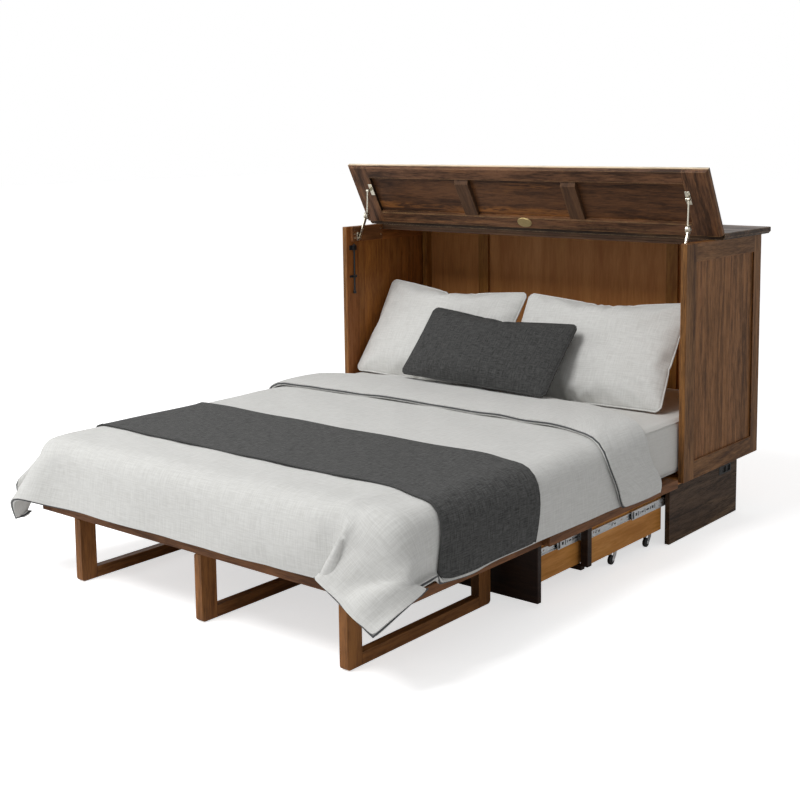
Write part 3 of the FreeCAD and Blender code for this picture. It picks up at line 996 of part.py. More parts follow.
def duvet():
    """The duvet: over the mattress, down both sides to the panels and over the foot, with its cuff folded back."""
    foot_y = -PLATFORM_REACH - DUVET_CLEARANCE
    half = DUVET_INNER_HALF + DUVET_T
    stations = ((DUVET_HEAD_Y, 0, 22), (-300, 2, 8), (-560, -2, 6), (-820, 1, 10), (-1080, -2, 4), (-1300, 2, 8),
                (foot_y + 60, -1, 6))
    wires = [drape_outline(y, half + puff, DUVET_TOP_Z + puff, DUVET_HEM_Z + hem, DUVET_T + puff, DUVET_SHOULDER_R)
             for y, puff, hem in stations]
    body = Part.makeLoft(wires, True, True)

    # the foot: a rounded step down in front of the mattress, with a hanging fold at each corner
    def foot_section(x, hem_z, out):
        top, r = DUVET_TOP_Z - 1, DUVET_SHOULDER_R
        y_in, y_out = foot_y, foot_y - DUVET_T - out
        y_back = foot_y + 60
        bend = r * (1 - sqrt(0.5))
        points = [V(x, y_back, top), V(x, y_out + r, top)]
        arc = Part.Arc(points[1], V(x, y_out + bend, top - bend), V(x, y_out, top - r)).toShape()
        low = V(x, y_out - out, hem_z)
        inner_low = V(x, y_in, hem_z + 2)
        lines = [Part.makeLine(points[0], points[1]), arc, Part.makeLine(V(x, y_out, top - r), low),
                 Part.makeLine(low, inner_low), Part.makeLine(inner_low, V(x, y_in, top - DUVET_T)),
                 Part.makeLine(V(x, y_in, top - DUVET_T), V(x, y_back, top - DUVET_T)),
                 Part.makeLine(V(x, y_back, top - DUVET_T), points[0])]
        return Part.Wire(lines)

    deepest = (foot_y - DUVET_T - DUVET_FOOT_TIP_Y) / 2
    folds = ((-1, 190, deepest), (-0.93, 226, 10), (-0.8, 246, 4), (-0.5, 244, 8), (-0.25, 247, 4), (0, 245, 7),
             (0.25, 247, 4), (0.5, 244, 8), (0.78, 246, 4), (0.92, 180, 16), (1, 140, deepest))
    foot = Part.makeLoft([foot_section(u * half, z, out) for u, z, out in folds], True, True)

    cuff_half = half + 4
    cuff_top = CUFF_TOP_Z - CUFF_SWELL
    cuff_stations = ((DUVET_CUFF_Y, 0), (DUVET_CUFF_Y + 12, 6), ((DUVET_CUFF_Y + DUVET_HEAD_Y) / 2, CUFF_SWELL),
                     (DUVET_HEAD_Y - 6, 6), (DUVET_HEAD_Y + 4, 0))
    cuff_wires = []
    for y, swell in cuff_stations:
        cuff_wires.append(drape_outline(y, cuff_half + swell, cuff_top + swell, DUVET_HEM_Z + 4, swell + 11,
                                        DUVET_SHOULDER_R + 8))
    cuff = Part.makeLoft(cuff_wires, True, True)
    whole = body.fuse([foot, cuff]).removeSplitter()
    node("duvet", whole.Solids)


def runner():
    """The dark runner laid across the bed, hanging down both sides."""
    half = DUVET_INNER_HALF + DUVET_T + 4 + RUNNER_T
    top = DUVET_TOP_Z + 4 + RUNNER_T
    stations = [(RUNNER_FRONT_Y + (RUNNER_BACK_Y - RUNNER_FRONT_Y) * i / 5, 2 * (i % 2)) for i in range(6)]
    wires = [drape_outline(y, half + puff, top + puff, RUNNER_HEM_Z, RUNNER_T, DUVET_SHOULDER_R + 4)
             for y, puff in stations]
    node("bed_runner", Part.makeLoft(wires, True, True))


# ---------------------------------------------------------------- build and write
def build():
    cabinet_sides()
    cabinet_back()
    fixed_top()
    lid()
    stays()
    base()
    hinges()
    front_panel()
    foot_panel()
    legs()
    crossrail()
    carriage()
    drawer()
    casters()
    latches()
    mattress()
    duvet()
    runner()
    pillows()


def write():
    """Writes one file per named piece, moved so that the origin is under the middle of the bed."""
    os.makedirs("parts", exist_ok=True)
    for name, solids in NODES.items():
        shape = solids[0] if len(solids) == 1 else Part.makeCompound(solids)
        shape = shape.copy()
        shape.translate(V(0, ORIGIN_SHIFT, 0))
        shape.exportStep(f"parts/{name}.step")


build()
write()
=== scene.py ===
import math
import bpy
import numpy as np
from mathutils import Matrix, Vector


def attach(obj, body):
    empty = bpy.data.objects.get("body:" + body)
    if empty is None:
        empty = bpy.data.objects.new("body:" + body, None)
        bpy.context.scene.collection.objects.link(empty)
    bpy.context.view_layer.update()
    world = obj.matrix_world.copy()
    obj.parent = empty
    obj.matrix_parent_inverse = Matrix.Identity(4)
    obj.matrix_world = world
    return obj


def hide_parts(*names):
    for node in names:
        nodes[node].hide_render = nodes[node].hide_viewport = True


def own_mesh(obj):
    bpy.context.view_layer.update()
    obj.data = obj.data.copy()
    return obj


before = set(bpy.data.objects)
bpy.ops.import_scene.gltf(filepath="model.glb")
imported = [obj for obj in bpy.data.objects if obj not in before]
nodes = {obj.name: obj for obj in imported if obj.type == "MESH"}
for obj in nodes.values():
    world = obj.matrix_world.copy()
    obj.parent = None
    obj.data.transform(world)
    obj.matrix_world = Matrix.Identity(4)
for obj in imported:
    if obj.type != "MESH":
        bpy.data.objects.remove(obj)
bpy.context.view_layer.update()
bpy.context.scene.view_settings.view_transform = "Standard"

# ---------------------------------------------------------------- sizes read off the bed, in metres
MATTRESS_TOP, MATTRESS_BOTTOM = 0.4364, 0.2424
MATTRESS_HALF = 0.762
MATTRESS_CORNER = 0.068       # radius of its upright corners
MATTRESS_FOOT, MATTRESS_HEAD = -1.0150, 1.0170
DUVET_THICK, RUNNER_THICK = 0.014, 0.005
DUVET_HALF = 0.962            # half the duvet's flat width
DUVET_FOOT = -1.206           # its foot hem, laid flat
DUVET_LIFT = 0.0105           # middle of its filling above the mattress
CUFF_RISE = 0.0195            # middle of the folded-back cuff above the duvet's own
CUFF_ROUND = 0.030            # the cloth that the fold at the head takes up
FILLING_SWELL = 0.0024
HEM_CORD_RADIUS = 0.0030
STILL_HALF, STILL_FROM, STILL_TO = 0.60, -0.86, 0.24   # the duvet's middle, which lies on the mattress
PANEL_FORM = (-0.783, -1.017, 0.205), (0.783, 0.470, 0.238)   # the platform that the duvet falls past

# the duvet's foot corners: where points of its hem are held while the rest falls
FOOT_HEM_HELD, FOOT_HEM_Y, FOOT_HEM_Z = (0.30, 0.605), -1.043, 0.250
LEFT_FLAP_TIP = (-0.796, -1.046, 0.203)
LEFT_FLAP_FOOT, LEFT_FLAP_SIDE = (-0.822, -1.087, 0.182), (-0.850, -1.056, 0.190)
LEFT_FLAP_LIMIT = -0.838      # what falls past this spreads towards the foot instead, by this share and way
LEFT_FLAP_SHARE, LEFT_FLAP_WAY = 0.68, (1.0, -1.2265, 0.198)
FOLD_START = 0.675            # where the right flap's tuck begins, along the flat foot hem
RIGHT_FLAP_TIP = (0.773, -1.120, 0.174)
RIGHT_FLAP_FOOT_FOLD = (0.519, -1.064, 0.258)
RIGHT_FLAP_SIDE_FOLD = (0.822, -0.960, 0.264)
RIGHT_SIDE_HELD = {10: (0.797, -0.985, 0.262), 13: (0.797, -0.885, 0.272)}   # by row from the foot

FILLED_KEEP, COVER_KEEP = 0.21, 0.03   # the share of its length that bedding keeps there
LID_SLOPE = math.radians(-31.1)
LID_UP, LID_OUT = (0, -0.5165, 0.8563), (0, -0.8563, -0.5165)   # along the open lid, and off its underside
LID_HINGE_Y, LID_HINGE_Z = 0.717, 1.073
LID_FREE_EDGE_Z = 1.27        # only the lid's free edge lies above this; its painted highlight goes there
SLIDE_Z = 0.153               # middle height of the carriage's and drawer's slides
CASTER_X, NUT_OFF = 0.703, 0.0099


def hump(value, middle, width):
    """One at the middle, falling off smoothly within that width."""
    return np.exp(-((value - middle) / width) ** 2)


# ---------------------------------------------------------------- node trees
def join(tree, source, target):
    tree.links.new(source, target)


def place(tree, kind, sockets=None, **settings):
    """A new node, each socket named here set to a value or linked to another node's output."""
    node = tree.nodes.new(kind)
    for name, value in settings.items():
        setattr(node, name, value)
    for name, value in (sockets or {}).items():
        if isinstance(value, bpy.types.NodeSocket):
            join(tree, value, node.inputs[name])
        else:
            node.inputs[name].default_value = value
    return node


def maths(tree, operation, a, b=None, clamp=False):
    sockets = {0: a} if b is None else {0: a, 1: b}
    return place(tree, "ShaderNodeMath", sockets, operation=operation, use_clamp=clamp).outputs[0]


def ramp(tree, value, low, high, out_low=0.0, out_high=1.0):
    sockets = {"Value": value, "From Min": low, "From Max": high, "To Min": out_low, "To Max": out_high}
    return place(tree, "ShaderNodeMapRange", sockets, interpolation_type="SMOOTHSTEP").outputs["Result"]


def blend_colour(tree, amount, a, b):
    a, b = ((*side, 1) if isinstance(side, tuple) else side for side in (a, b))
    return place(tree, "ShaderNodeMix", {0: amount, 6: a, 7: b}, data_type="RGBA").outputs[2]


def noise(tree, vector, scale, detail=3.0, rough=0.55, twist=0.0):
    sockets = {"Vector": vector, "Scale": scale, "Detail": detail, "Roughness": rough, "Distortion": twist}
    return place(tree, "ShaderNodeTexNoise", sockets).outputs["Fac"]


def colour(hexed, share=1.0):
    """A colour written as it shows, made linear and that share as bright."""
    parts = [int(hexed[i:i + 2], 16) / 255 for i in (0, 2, 4)]
    return tuple((c / 12.92 if c <= 0.04045 else ((c + 0.055) / 1.055) ** 2.4) * share for c in parts)


def effect(name, inputs, outputs):
    """A shared effect with named sockets, and what it is given."""
    group = bpy.data.node_groups.new(name, "ShaderNodeTree")
    kinds = {"v": "NodeSocketVector", "c": "NodeSocketColor", "f": "NodeSocketFloat"}
    for way, sockets in (("INPUT", inputs), ("OUTPUT", outputs)):
        for label, kind in sockets.items():
            group.interface.new_socket(label, in_out=way, socket_type=kinds[kind])
    return group, place(group, "NodeGroupInput").outputs


def wood_grain():
    """Long streaks, a broader figure and short dark pores, all along the vector's first axis."""
    tree, given = effect("wood grain",
                         {"Along": "v", "Dark": "c", "Light": "c", "Contrast": "f", "Pores": "f"},
                         {"Color": "c", "Height": "f", "Streak": "f"})
    figure = noise(tree, given["Along"], 0.9, 4, 0.6, 1.2)
    streak = noise(tree, given["Along"], 4.0, 5, 0.7, 0.3)
    fine = noise(tree, given["Along"], 14.0, 3, 0.6)
    mixed = maths(tree, "ADD", maths(tree, "MULTIPLY", streak, 0.38), maths(tree, "MULTIPLY", fine, 0.22))
    mixed = maths(tree, "ADD", maths(tree, "MULTIPLY", figure, 0.4), mixed)
    centred = maths(tree, "SUBTRACT", ramp(tree, mixed, 0.34, 0.66), 0.5)
    tone = maths(tree, "ADD", maths(tree, "MULTIPLY", centred, given["Contrast"]), 0.5, clamp=True)
    base = blend_colour(tree, tone, given["Dark"], given["Light"])
    pore = ramp(tree, noise(tree, given["Along"], 30.0, 2, 0.5), 0.60, 0.70)
    pore = maths(tree, "MULTIPLY", pore, given["Pores"])
    place(tree, "NodeGroupOutput", {"Color": blend_colour(tree, pore, base, given["Dark"]),
                                    "Height": maths(tree, "SUBTRACT", fine, pore), "Streak": tone})
    return tree


def rubbed_and_lit_edges():
    """How much an edge is painted paler, from the turn of the surface near it: partly from handling, partly a
    painted highlight where edges catch the light.
    """
    tree, given = effect("rubbed edges", {"Amount": "f", "Place": "v"}, {"Mask": "f"})
    near = place(tree, "ShaderNodeBevel", {"Radius": 0.004}, samples=4).outputs[0]
    here = place(tree, "ShaderNodeNewGeometry").outputs["True Normal"]
    alike = place(tree, "ShaderNodeVectorMath", {0: near, 1: here}, operation="DOT_PRODUCT").outputs["Value"]
    turn = ramp(tree, maths(tree, "SUBTRACT", 1.0, alike), 0.01, 0.16)
    broken = ramp(tree, noise(tree, given["Place"], 38.0, 4), 0.30, 0.62, 0.25, 1.0)
    rubbed_and_lit = maths(tree, "MULTIPLY", turn, broken)
    place(tree, "NodeGroupOutput", {"Mask": maths(tree, "MULTIPLY", rubbed_and_lit, given["Amount"], clamp=True)})
    return tree


def plank_tone():
    """A tone of its own for each board across a joined panel."""
    tree, given = effect("plank tone", {"Across": "f", "Width": "f"}, {"Tone": "f", "Seam": "f"})
    count = maths(tree, "DIVIDE", given["Across"], given["Width"])
    number = place(tree, "ShaderNodeTexWhiteNoise", {"W": maths(tree, "FLOOR", count)}, noise_dimensions="1D")
    off = maths(tree, "ABSOLUTE", maths(tree, "SUBTRACT", maths(tree, "FRACT", count), 0.5))
    place(tree, "NodeGroupOutput", {"Tone": number.outputs["Value"], "Seam": ramp(tree, off, 0.485, 0.5)})
    return tree


def slub_weave():
    """Plain cloth: threads both ways of uneven thickness, the vector being the flat cloth in metres."""
    tree, given = effect("slub weave", {"Flat": "v", "Light": "c", "Dark": "c", "Slub": "f", "Threads": "f"},
                         {"Color": "c", "Height": "f"})
    ways = []
    for stretch in ((1.0, 0.05, 1.0), (0.05, 1.0, 1.0)):
        way = place(tree, "ShaderNodeMapping", {"Vector": given["Flat"], "Scale": stretch})
        ways.append(noise(tree, way.outputs[0], 300.0, 3, 0.6))
    slubs = maths(tree, "MULTIPLY", maths(tree, "ADD", *ways), 0.5)
    broad = noise(tree, given["Flat"], 60.0, 3)
    mottle = maths(tree, "ADD", maths(tree, "MULTIPLY", slubs, 0.84), maths(tree, "MULTIPLY", broad, 0.16))
    amount = maths(tree, "MULTIPLY", ramp(tree, mottle, 0.36, 0.64), given["Slub"])
    parts = place(tree, "ShaderNodeSeparateXYZ", {0: given["Flat"]}).outputs
    turns = maths(tree, "MULTIPLY", given["Threads"], math.pi)
    waves = [maths(tree, "SINE", maths(tree, "MULTIPLY", parts[axis], turns)) for axis in "XY"]
    threads = maths(tree, "MULTIPLY", maths(tree, "MULTIPLY", *waves), 0.25)
    place(tree, "NodeGroupOutput", {"Color": blend_colour(tree, amount, given["Light"], given["Dark"]),
                                    "Height": maths(tree, "ADD", slubs, threads)})
    return tree


GRAIN, RUBBED_AND_LIT, PLANKS, WEAVE = wood_grain(), rubbed_and_lit_edges(), plank_tone(), slub_weave()


def fresh(name, **sockets):
    material = bpy.data.materials.new(name)
    material.use_nodes = True
    tree = material.node_tree
    surface = tree.nodes["Principled BSDF"]
    for label, value in sockets.items():
        surface.inputs[label.replace("_", " ")].default_value = value
    return material, tree, surface


def bumped(tree, surface, height, strength, distance):
    ridges = place(tree, "ShaderNodeBump", {"Strength": strength, "Distance": distance, "Height": height})
    join(tree, ridges.outputs[0], surface.inputs["Normal"])


WAYS = {"x": (0, 0, 0), "y": (0, 0, math.pi / 2), "z": (0, math.pi / 2, 0),
        "lid": (LID_SLOPE, math.pi / 2, 0)}


def between(tree, value, low, high):
    return maths(tree, "MULTIPLY", maths(tree, "GREATER_THAN", value, low),
                 maths(tree, "LESS_THAN", value, high))


def facing(tree, way, least):
    """Where the surface points the given way."""
    normal = place(tree, "ShaderNodeTexCoord").outputs["Normal"]
    alike = place(tree, "ShaderNodeVectorMath", {0: normal, 1: way}, operation="DOT_PRODUCT").outputs["Value"]
    return maths(tree, "GREATER_THAN", alike, least)


def grain_run(tree, where, along, fine):
    turned = place(tree, "ShaderNodeMapping", {"Vector": where, "Rotation": WAYS[along]}).outputs[0]
    drawn = (1.6 * fine, 16 * fine, 16 * fine)
    return place(tree, "ShaderNodeMapping", {"Vector": turned, "Scale": drawn}).outputs[0]


def grained(tree, vector, dark, light, contrast, pores):
    sockets = {"Along": vector, "Dark": (*colour(dark), 1), "Light": (*colour(light), 1),
               "Contrast": contrast, "Pores": pores}
    return place(tree, "ShaderNodeGroup", sockets, node_tree=GRAIN).outputs


def wood(name, dark, light, along="x", worn_and_lit=None, wear_and_highlight=0.5, contrast=1.0, pores=0.4, shine=0.42, fine=1.0,
         planks=None, patch=None, patches=0.5, inside=None, across=None, free_edge_highlight=None):
    """A stained or waxed wood: its grain along one axis, its edges painted paler (partly from handling,
    partly a painted highlight where edges catch the light), boards of differing tone, warm patches where the
    stain is thin, another colour inside the cabinet, rails that meet its stiles at joints, and a pale free
    edge on the lid that is partly paler wood and partly a painted highlight."""
    material, tree, surface = fresh(name, Specular_IOR_Level=0.16)
    where = place(tree, "ShaderNodeTexCoord").outputs["Object"]
    parts = place(tree, "ShaderNodeSeparateXYZ", {0: where}).outputs
    vector = grain_run(tree, where, along, fine)
    gaps = []
    if across:
        axis, low, high, other = across
        rails, rail_run = between(tree, parts[axis], low, high), grain_run(tree, where, other, fine)
        sockets = {0: rails, 4: vector, 5: rail_run}
        vector = place(tree, "ShaderNodeMix", sockets, data_type="VECTOR").outputs[1]
        joints = [between(tree, parts[axis], end - 0.0007, end + 0.0007) for end in (low, high)]
        gaps.append(maths(tree, "MAXIMUM", *joints))
    if planks:
        axis, width = planks
        sockets = {"Across": maths(tree, "ADD", parts[axis], 20 * width), "Width": width}
        board = place(tree, "ShaderNodeGroup", sockets, node_tree=PLANKS).outputs
        shift = place(tree, "ShaderNodeCombineXYZ", {0: maths(tree, "MULTIPLY", board["Tone"], 7.0)})
        sockets = {0: vector, 1: shift.outputs[0]}
        vector = place(tree, "ShaderNodeVectorMath", sockets, operation="ADD").outputs[0]
        gaps.append(board["Seam"])
    grain = grained(tree, vector, dark, light, contrast, pores)
    shade = grain["Color"]
    if inside:
        inner = [maths(tree, "MULTIPLY", facing(tree, (way, 0, 0), 0.6), maths(tree, side, parts["X"], 0.0))
                 for way, side in ((-1, "GREATER_THAN"), (1, "LESS_THAN"))]
        warm = grained(tree, vector, *inside, 1.0, 0.25)["Color"]
        shade = blend_colour(tree, maths(tree, "MAXIMUM", *inner), shade, warm)
    if patch:
        thin = ramp(tree, noise(tree, vector, 0.55, 3, 0.6, 0.8), 0.50, 0.68)
        thin = maths(tree, "MULTIPLY", thin, ramp(tree, grain["Streak"], 0.2, 0.8))
        shade = blend_colour(tree, maths(tree, "MULTIPLY", thin, patches), shade, colour(patch))
    if planks:
        shade = blend_colour(tree, ramp(tree, board["Tone"], 0.0, 1.0, 0.0, 0.30), shade, colour(light))
    for gap in gaps:
        shade = blend_colour(tree, maths(tree, "MULTIPLY", gap, 0.8), shade, colour(dark, 0.3))
    # the lid's free edge: partly paler wood, partly a painted highlight on the face that catches the light
    if free_edge_highlight:
        pale = blend_colour(tree, ramp(tree, grain["Streak"], 0.0, 0.6), colour(free_edge_highlight, 0.6),
                            colour(free_edge_highlight))
        above = maths(tree, "GREATER_THAN", parts["Z"], LID_FREE_EDGE_Z)
        shade = blend_colour(tree, maths(tree, "MULTIPLY", facing(tree, LID_UP, 0.8), above), shade, pale)
    # edges painted paler: partly from handling, partly a painted highlight where they catch the light
    if worn_and_lit:
        rubbed_and_lit = place(tree, "ShaderNodeGroup", {"Amount": wear_and_highlight, "Place": where}, node_tree=RUBBED_AND_LIT)
        shade = blend_colour(tree, rubbed_and_lit.outputs["Mask"], shade, colour(worn_and_lit))
    join(tree, shade, surface.inputs["Base Color"])
    join(tree, ramp(tree, grain["Streak"], 0, 1, shine + 0.12, shine - 0.05), surface.inputs["Roughness"])
    bumped(tree, surface, grain["Height"], 0.25, 0.0012)
    return material


def metal(name, tint, rough):
    """Plated or drawn metal with faint handling marks."""
    material, tree, surface = fresh(name, Metallic=1.0)
    where = place(tree, "ShaderNodeTexCoord").outputs["Object"]
    marks = noise(tree, where, 90.0, 4)
    handled = blend_colour(tree, ramp(tree, marks, 0.35, 0.7, 0, 0.35), colour(tint), colour(tint, 0.72))
    join(tree, handled, surface.inputs["Base Color"])
    join(tree, ramp(tree, marks, 0.3, 0.7, rough - 0.06, rough + 0.12), surface.inputs["Roughness"])
    bumped(tree, surface, noise(tree, where, 400.0, 2), 0.08, 0.0005)
    return material


def moulded(name, tint, rough):
    """Rubber, plastic or painted metal."""
    material, tree, surface = fresh(name)
    where = place(tree, "ShaderNodeTexCoord").outputs["Object"]
    specks = noise(tree, where, 220.0, 3)
    paler = tuple(min(1, c * 1.35 + 0.004) for c in colour(tint))
    join(tree, blend_colour(tree, ramp(tree, specks, 0.3, 0.7, 0, 0.5), colour(tint), paler),
         surface.inputs["Base Color"])
    join(tree, ramp(tree, specks, 0.3, 0.7, rough - 0.05, rough + 0.1), surface.inputs["Roughness"])
    bumped(tree, surface, specks, 0.15, 0.0004)
    return material


def cloth(name, light, dark, slub, threads=900.0, bump=0.35, sheen=0.25, flat=(1, 1, 1), solid=False):
    """Woven cloth on the piece's own flat map, or on its place where it is a close fitted sheet."""
    material, tree, surface = fresh(name, Roughness=0.92, Sheen_Weight=sheen, Sheen_Roughness=0.5,
                                    Specular_IOR_Level=0.2)
    where = place(tree, "ShaderNodeTexCoord").outputs["Object" if solid else "UV"]
    sized = place(tree, "ShaderNodeMapping", {"Vector": where, "Scale": flat}).outputs[0]
    sockets = {"Flat": sized, "Light": (*colour(light), 1), "Dark": (*colour(dark), 1), "Slub": slub,
               "Threads": threads}
    weave = place(tree, "ShaderNodeGroup", sockets, node_tree=WEAVE).outputs
    join(tree, weave["Color"], surface.inputs["Base Color"])
    bumped(tree, surface, weave["Height"], bump, 0.0012)
    return material


# ---------------------------------------------------------------- finishes of the wooden and metal parts
# the pale edge colours given below are partly handling marks, partly painted highlight on edges that catch
# the light
side_wood = wood("dark stained side frames", "432A18", "906438", "z", worn_and_lit="B47440", wear_and_highlight=0.7,
                 across=("Y", 0.576, 1.033, "y"), inside=("6C3E1C", "A86834"), patch="8A5834", contrast=1.25)
side_board_wood = wood("dark stained side boards", "462C16", "986638", "z", planks=("Y", 0.0473), pores=0.6,
                       fine=1.4, contrast=1.4, worn_and_lit="8A5A38", wear_and_highlight=0.3, inside=("6A3C1A", "B47438"),
                       patch="94603A", patches=0.65)
back_wood = wood("warm back boards", "965C30", "CC9056", "z", contrast=0.6, worn_and_lit="8E5C34", wear_and_highlight=0.2, fine=0.6,
                 pores=0.2, patch="B07C40")
inner_wood = wood("warm inner battens", "7A4E24", "AC783C", "z", worn_and_lit="AC7A48", wear_and_highlight=0.4)
top_wood = wood("dark top board", "241912", "473425", "x", worn_and_lit="D2B48C", wear_and_highlight=0.75, contrast=1.2,
                patch="9A7048")
lid_board_wood = wood("lid board underside", "301E14", "66432A", "x", fine=1.3, worn_and_lit="B79266", wear_and_highlight=0.3,
                      contrast=1.25, pores=0.55, patch="96602F", patches=0.75, free_edge_highlight="F0E2CC")
lid_frame_wood = wood("lid frame", "352318", "745038", "lid", fine=1.3, worn_and_lit="B8915F", wear_and_highlight=0.55,
                      contrast=1.35, pores=0.6, across=("X", -0.722, 0.722, "x"), patch="8E5F38",
                      free_edge_highlight="D9C2A0")
lid_batten_wood = wood("lid battens", "3A281D", "634630", "lid", worn_and_lit="A27C55")
rail_wood = wood("moulded hinge rail", "32211A", "5C422C", "x", worn_and_lit="6E4B33", wear_and_highlight=0.4)
cleat_wood = wood("inner cleats", "5A371F", "8C5C36", "y", worn_and_lit="A87448")
base_wood = wood("dark base sides", "2A1F18", "54402F", "y", worn_and_lit="7D5F45", wear_and_highlight=0.4, contrast=1.5, pores=0.7,
                 fine=2.0, across=("X", -0.735, 0.735, "x"), patch="7A6248", patches=0.55, shine=0.5)
base_top_wood = wood("orange waxed base top", "A8642A", "DA9850", "x", worn_and_lit="D29650")
panel_wood = wood("folding panel frames", "4A2E1C", "8A5A34", "y", worn_and_lit="9A6C44",
                  across=("X", -0.695, 0.695, "x"))
panel_board_wood = wood("folding panel boards", "4A3120", "7A5232", "x", planks=("Y", 0.113),
                        worn_and_lit="8E643E", wear_and_highlight=0.3)
leg_wood = wood("leg wood", "5E3C22", "A06C3E", "z", worn_and_lit="A87A4A", wear_and_highlight=0.55,
                across=("Y", -0.961, -0.428, "y"), patch="A06E3C")
crossrail_wood = wood("arched rail wood", "4A301C", "7E5634", "x", worn_and_lit="996C42")
plywood = wood("orange carriage plywood", "AC7030", "DE9C52", "y", worn_and_lit="D6A468", wear_and_highlight=0.4, contrast=0.8,
               fine=0.7, pores=0.15, patch="D29C58", patches=0.4)
drawer_front_wood = wood("near black front boards", "1C1412", "36271F", "x", worn_and_lit="5A4030", wear_and_highlight=0.55,
                         shine=0.32)
nickel = metal("cream nickel", "D8D2C2", 0.26)
steel = metal("bright slide steel", "C9CBCC", 0.3)
caster_metal = metal("caster zinc", "E2E4E6", 0.34)
black_steel = moulded("black bolt steel", "0F0F10", 0.4)
brass = metal("aged brass", "B09C70", 0.36)
rubber = moulded("black wheel rubber", "151516", 0.6)
outlet_plastic = moulded("dark outlet plastic", "070707", 0.55)
slide_plastic_and_hole_shade = moulded("black slide plastic and painted hole shade", "121213", 0.4)

FINISH = {
    side_wood: ("side_frame_left", "side_frame_right"),
    side_board_wood: ("side_panels",),
    back_wood: ("back_panels",),
    inner_wood: ("back_battens_and_posts", "inner_deck"),
    top_wood: ("fixed_top",),
    lid_board_wood: ("lid_board",),
    lid_frame_wood: ("lid_frame",),
    lid_batten_wood: ("lid_battens",),
    rail_wood: ("hinge_rail",),
    cleat_wood: ("stay_cleats",),
    base_wood: ("base_frame",),
    base_top_wood: ("base_top",),
    panel_wood: ("front_panel_frame", "foot_panel_frame"),
    panel_board_wood: ("front_panel_boards", "foot_panel_boards"),
    leg_wood: ("leg_left", "leg_middle", "leg_right"),
    crossrail_wood: ("arched_crossrail",),
    plywood: ("carriage_box", "drawer_box", "drawer_bottom"),
    drawer_front_wood: ("drawer_front", "carriage_front_frame"),
    nickel: ("stay_upper_links", "stay_lower_links", "stay_anchors_and_screws", "lid_hardware",
             "cabinet_hinge_leaves", "front_panel_hinge_leaves", "foot_panel_hinge_leaves",
             "leg_brackets_and_catches"),
    steel: ("base_slide_channels", "carriage_slide_middles", "drawer_slide_middles", "drawer_slide_rails",
            "carriage_hardware"),
    caster_metal: tuple(n for n in nodes if n.startswith("caster_fork_")) + ("drawer_caster_forks",),
    rubber: tuple(n for n in nodes if n.startswith("caster_wheel_")) + ("drawer_caster_wheels",),
    black_steel: ("panel_latch_bolts", "latch_guides"),
    brass: ("lid_badge",),
    outlet_plastic: ("power_outlet",),
}
for material, names in FINISH.items():
    for name in names:
        solid = nodes[name]
        if not solid.material_slots:
            solid.data.materials.append(material)
        for held in solid.material_slots:
            held.material = material

linen = cloth("off white linen", "D8D8D5", "BBBAB6", 0.6)
# grey piping round the duvet's hem, made darker partly as painted shade of the gap under the cuff's hem
hem_cord_and_shade = cloth("grey hem cord and painted shade", "505153", "38393B", 0.6, solid=True)
pillow_linen = cloth("off white pillow linen", "D8D8D5", "BBBAB6", 0.6, flat=(0.72, 0.44, 1))
sheet_cotton = cloth("fitted sheet cotton", "D6D5D1", "C2C0BA", 0.4, solid=True)
charcoal = cloth("charcoal runner cloth", "5E5E5D", "1D1D1D", 0.85, threads=320.0, bump=0.6, sheen=0.03,
                 flat=(1.7, 1.7, 1))
charcoal_cushion = cloth("charcoal cushion cloth", "515150", "191919", 0.85, threads=320.0, bump=0.6,
                         sheen=0.03, flat=(1.19, 0.56, 1))


# ---------------------------------------------------------------- working by hand
def only(piece):
    if bpy.context.object and bpy.context.object.mode != "OBJECT":
        bpy.ops.object.mode_set(mode="OBJECT")
    bpy.ops.object.select_all(action="DESELECT")
    piece.select_set(True)
    bpy.context.view_layer.objects.active = piece


def settled(piece):
    only(piece)
    bpy.ops.object.transform_apply(location=True, rotation=True, scale=True)
    return piece


def block(name, low, high):
    bpy.ops.object.select_all(action="DESELECT")
    centre = [(a + b) / 2 for a, b in zip(low, high)]
    bpy.ops.mesh.primitive_cube_add(size=1, location=centre)
    piece = bpy.context.object
    piece.name = name
    piece.scale = [b - a for a, b in zip(low, high)]
    return settled(piece)


def finished(piece, kind, **settings):
    only(piece)
    modifier = piece.modifiers.new(kind.title(), kind)
    for name, value in settings.items():
        setattr(modifier, name, value)
    bpy.ops.object.modifier_apply(modifier=modifier.name)
    return piece


def smooth(piece, degrees=60):
    only(piece)
    bpy.ops.object.shade_smooth_by_angle(angle=math.radians(degrees))
    return piece


def points_of(piece):
    flat = np.empty(len(piece.data.vertices) * 3)
    piece.data.vertices.foreach_get("co", flat)
    return flat.reshape(-1, 3)


def set_points(piece, points):
    piece.data.vertices.foreach_set("co", np.ascontiguousarray(points, float).ravel())
    piece.data.update()


def cloth_grid(name, across, along):
    """A flat grid of cloth with that many points across and along."""
    bpy.ops.object.select_all(action="DESELECT")
    bpy.ops.mesh.primitive_grid_add(x_subdivisions=across - 1, y_subdivisions=along - 1, size=1)
    piece = bpy.context.object
    piece.name = name
    return piece


def laid(piece, rows):
    """Moves a flat grid's points to rows of places, and gives its point numbers in the rows' order."""
    have = points_of(piece)
    order = np.lexsort((np.round(have[:, 0], 4), np.round(have[:, 1], 4)))
    placed = np.empty_like(have)
    placed[order] = rows.reshape(-1, 3)
    set_points(piece, placed)
    return order


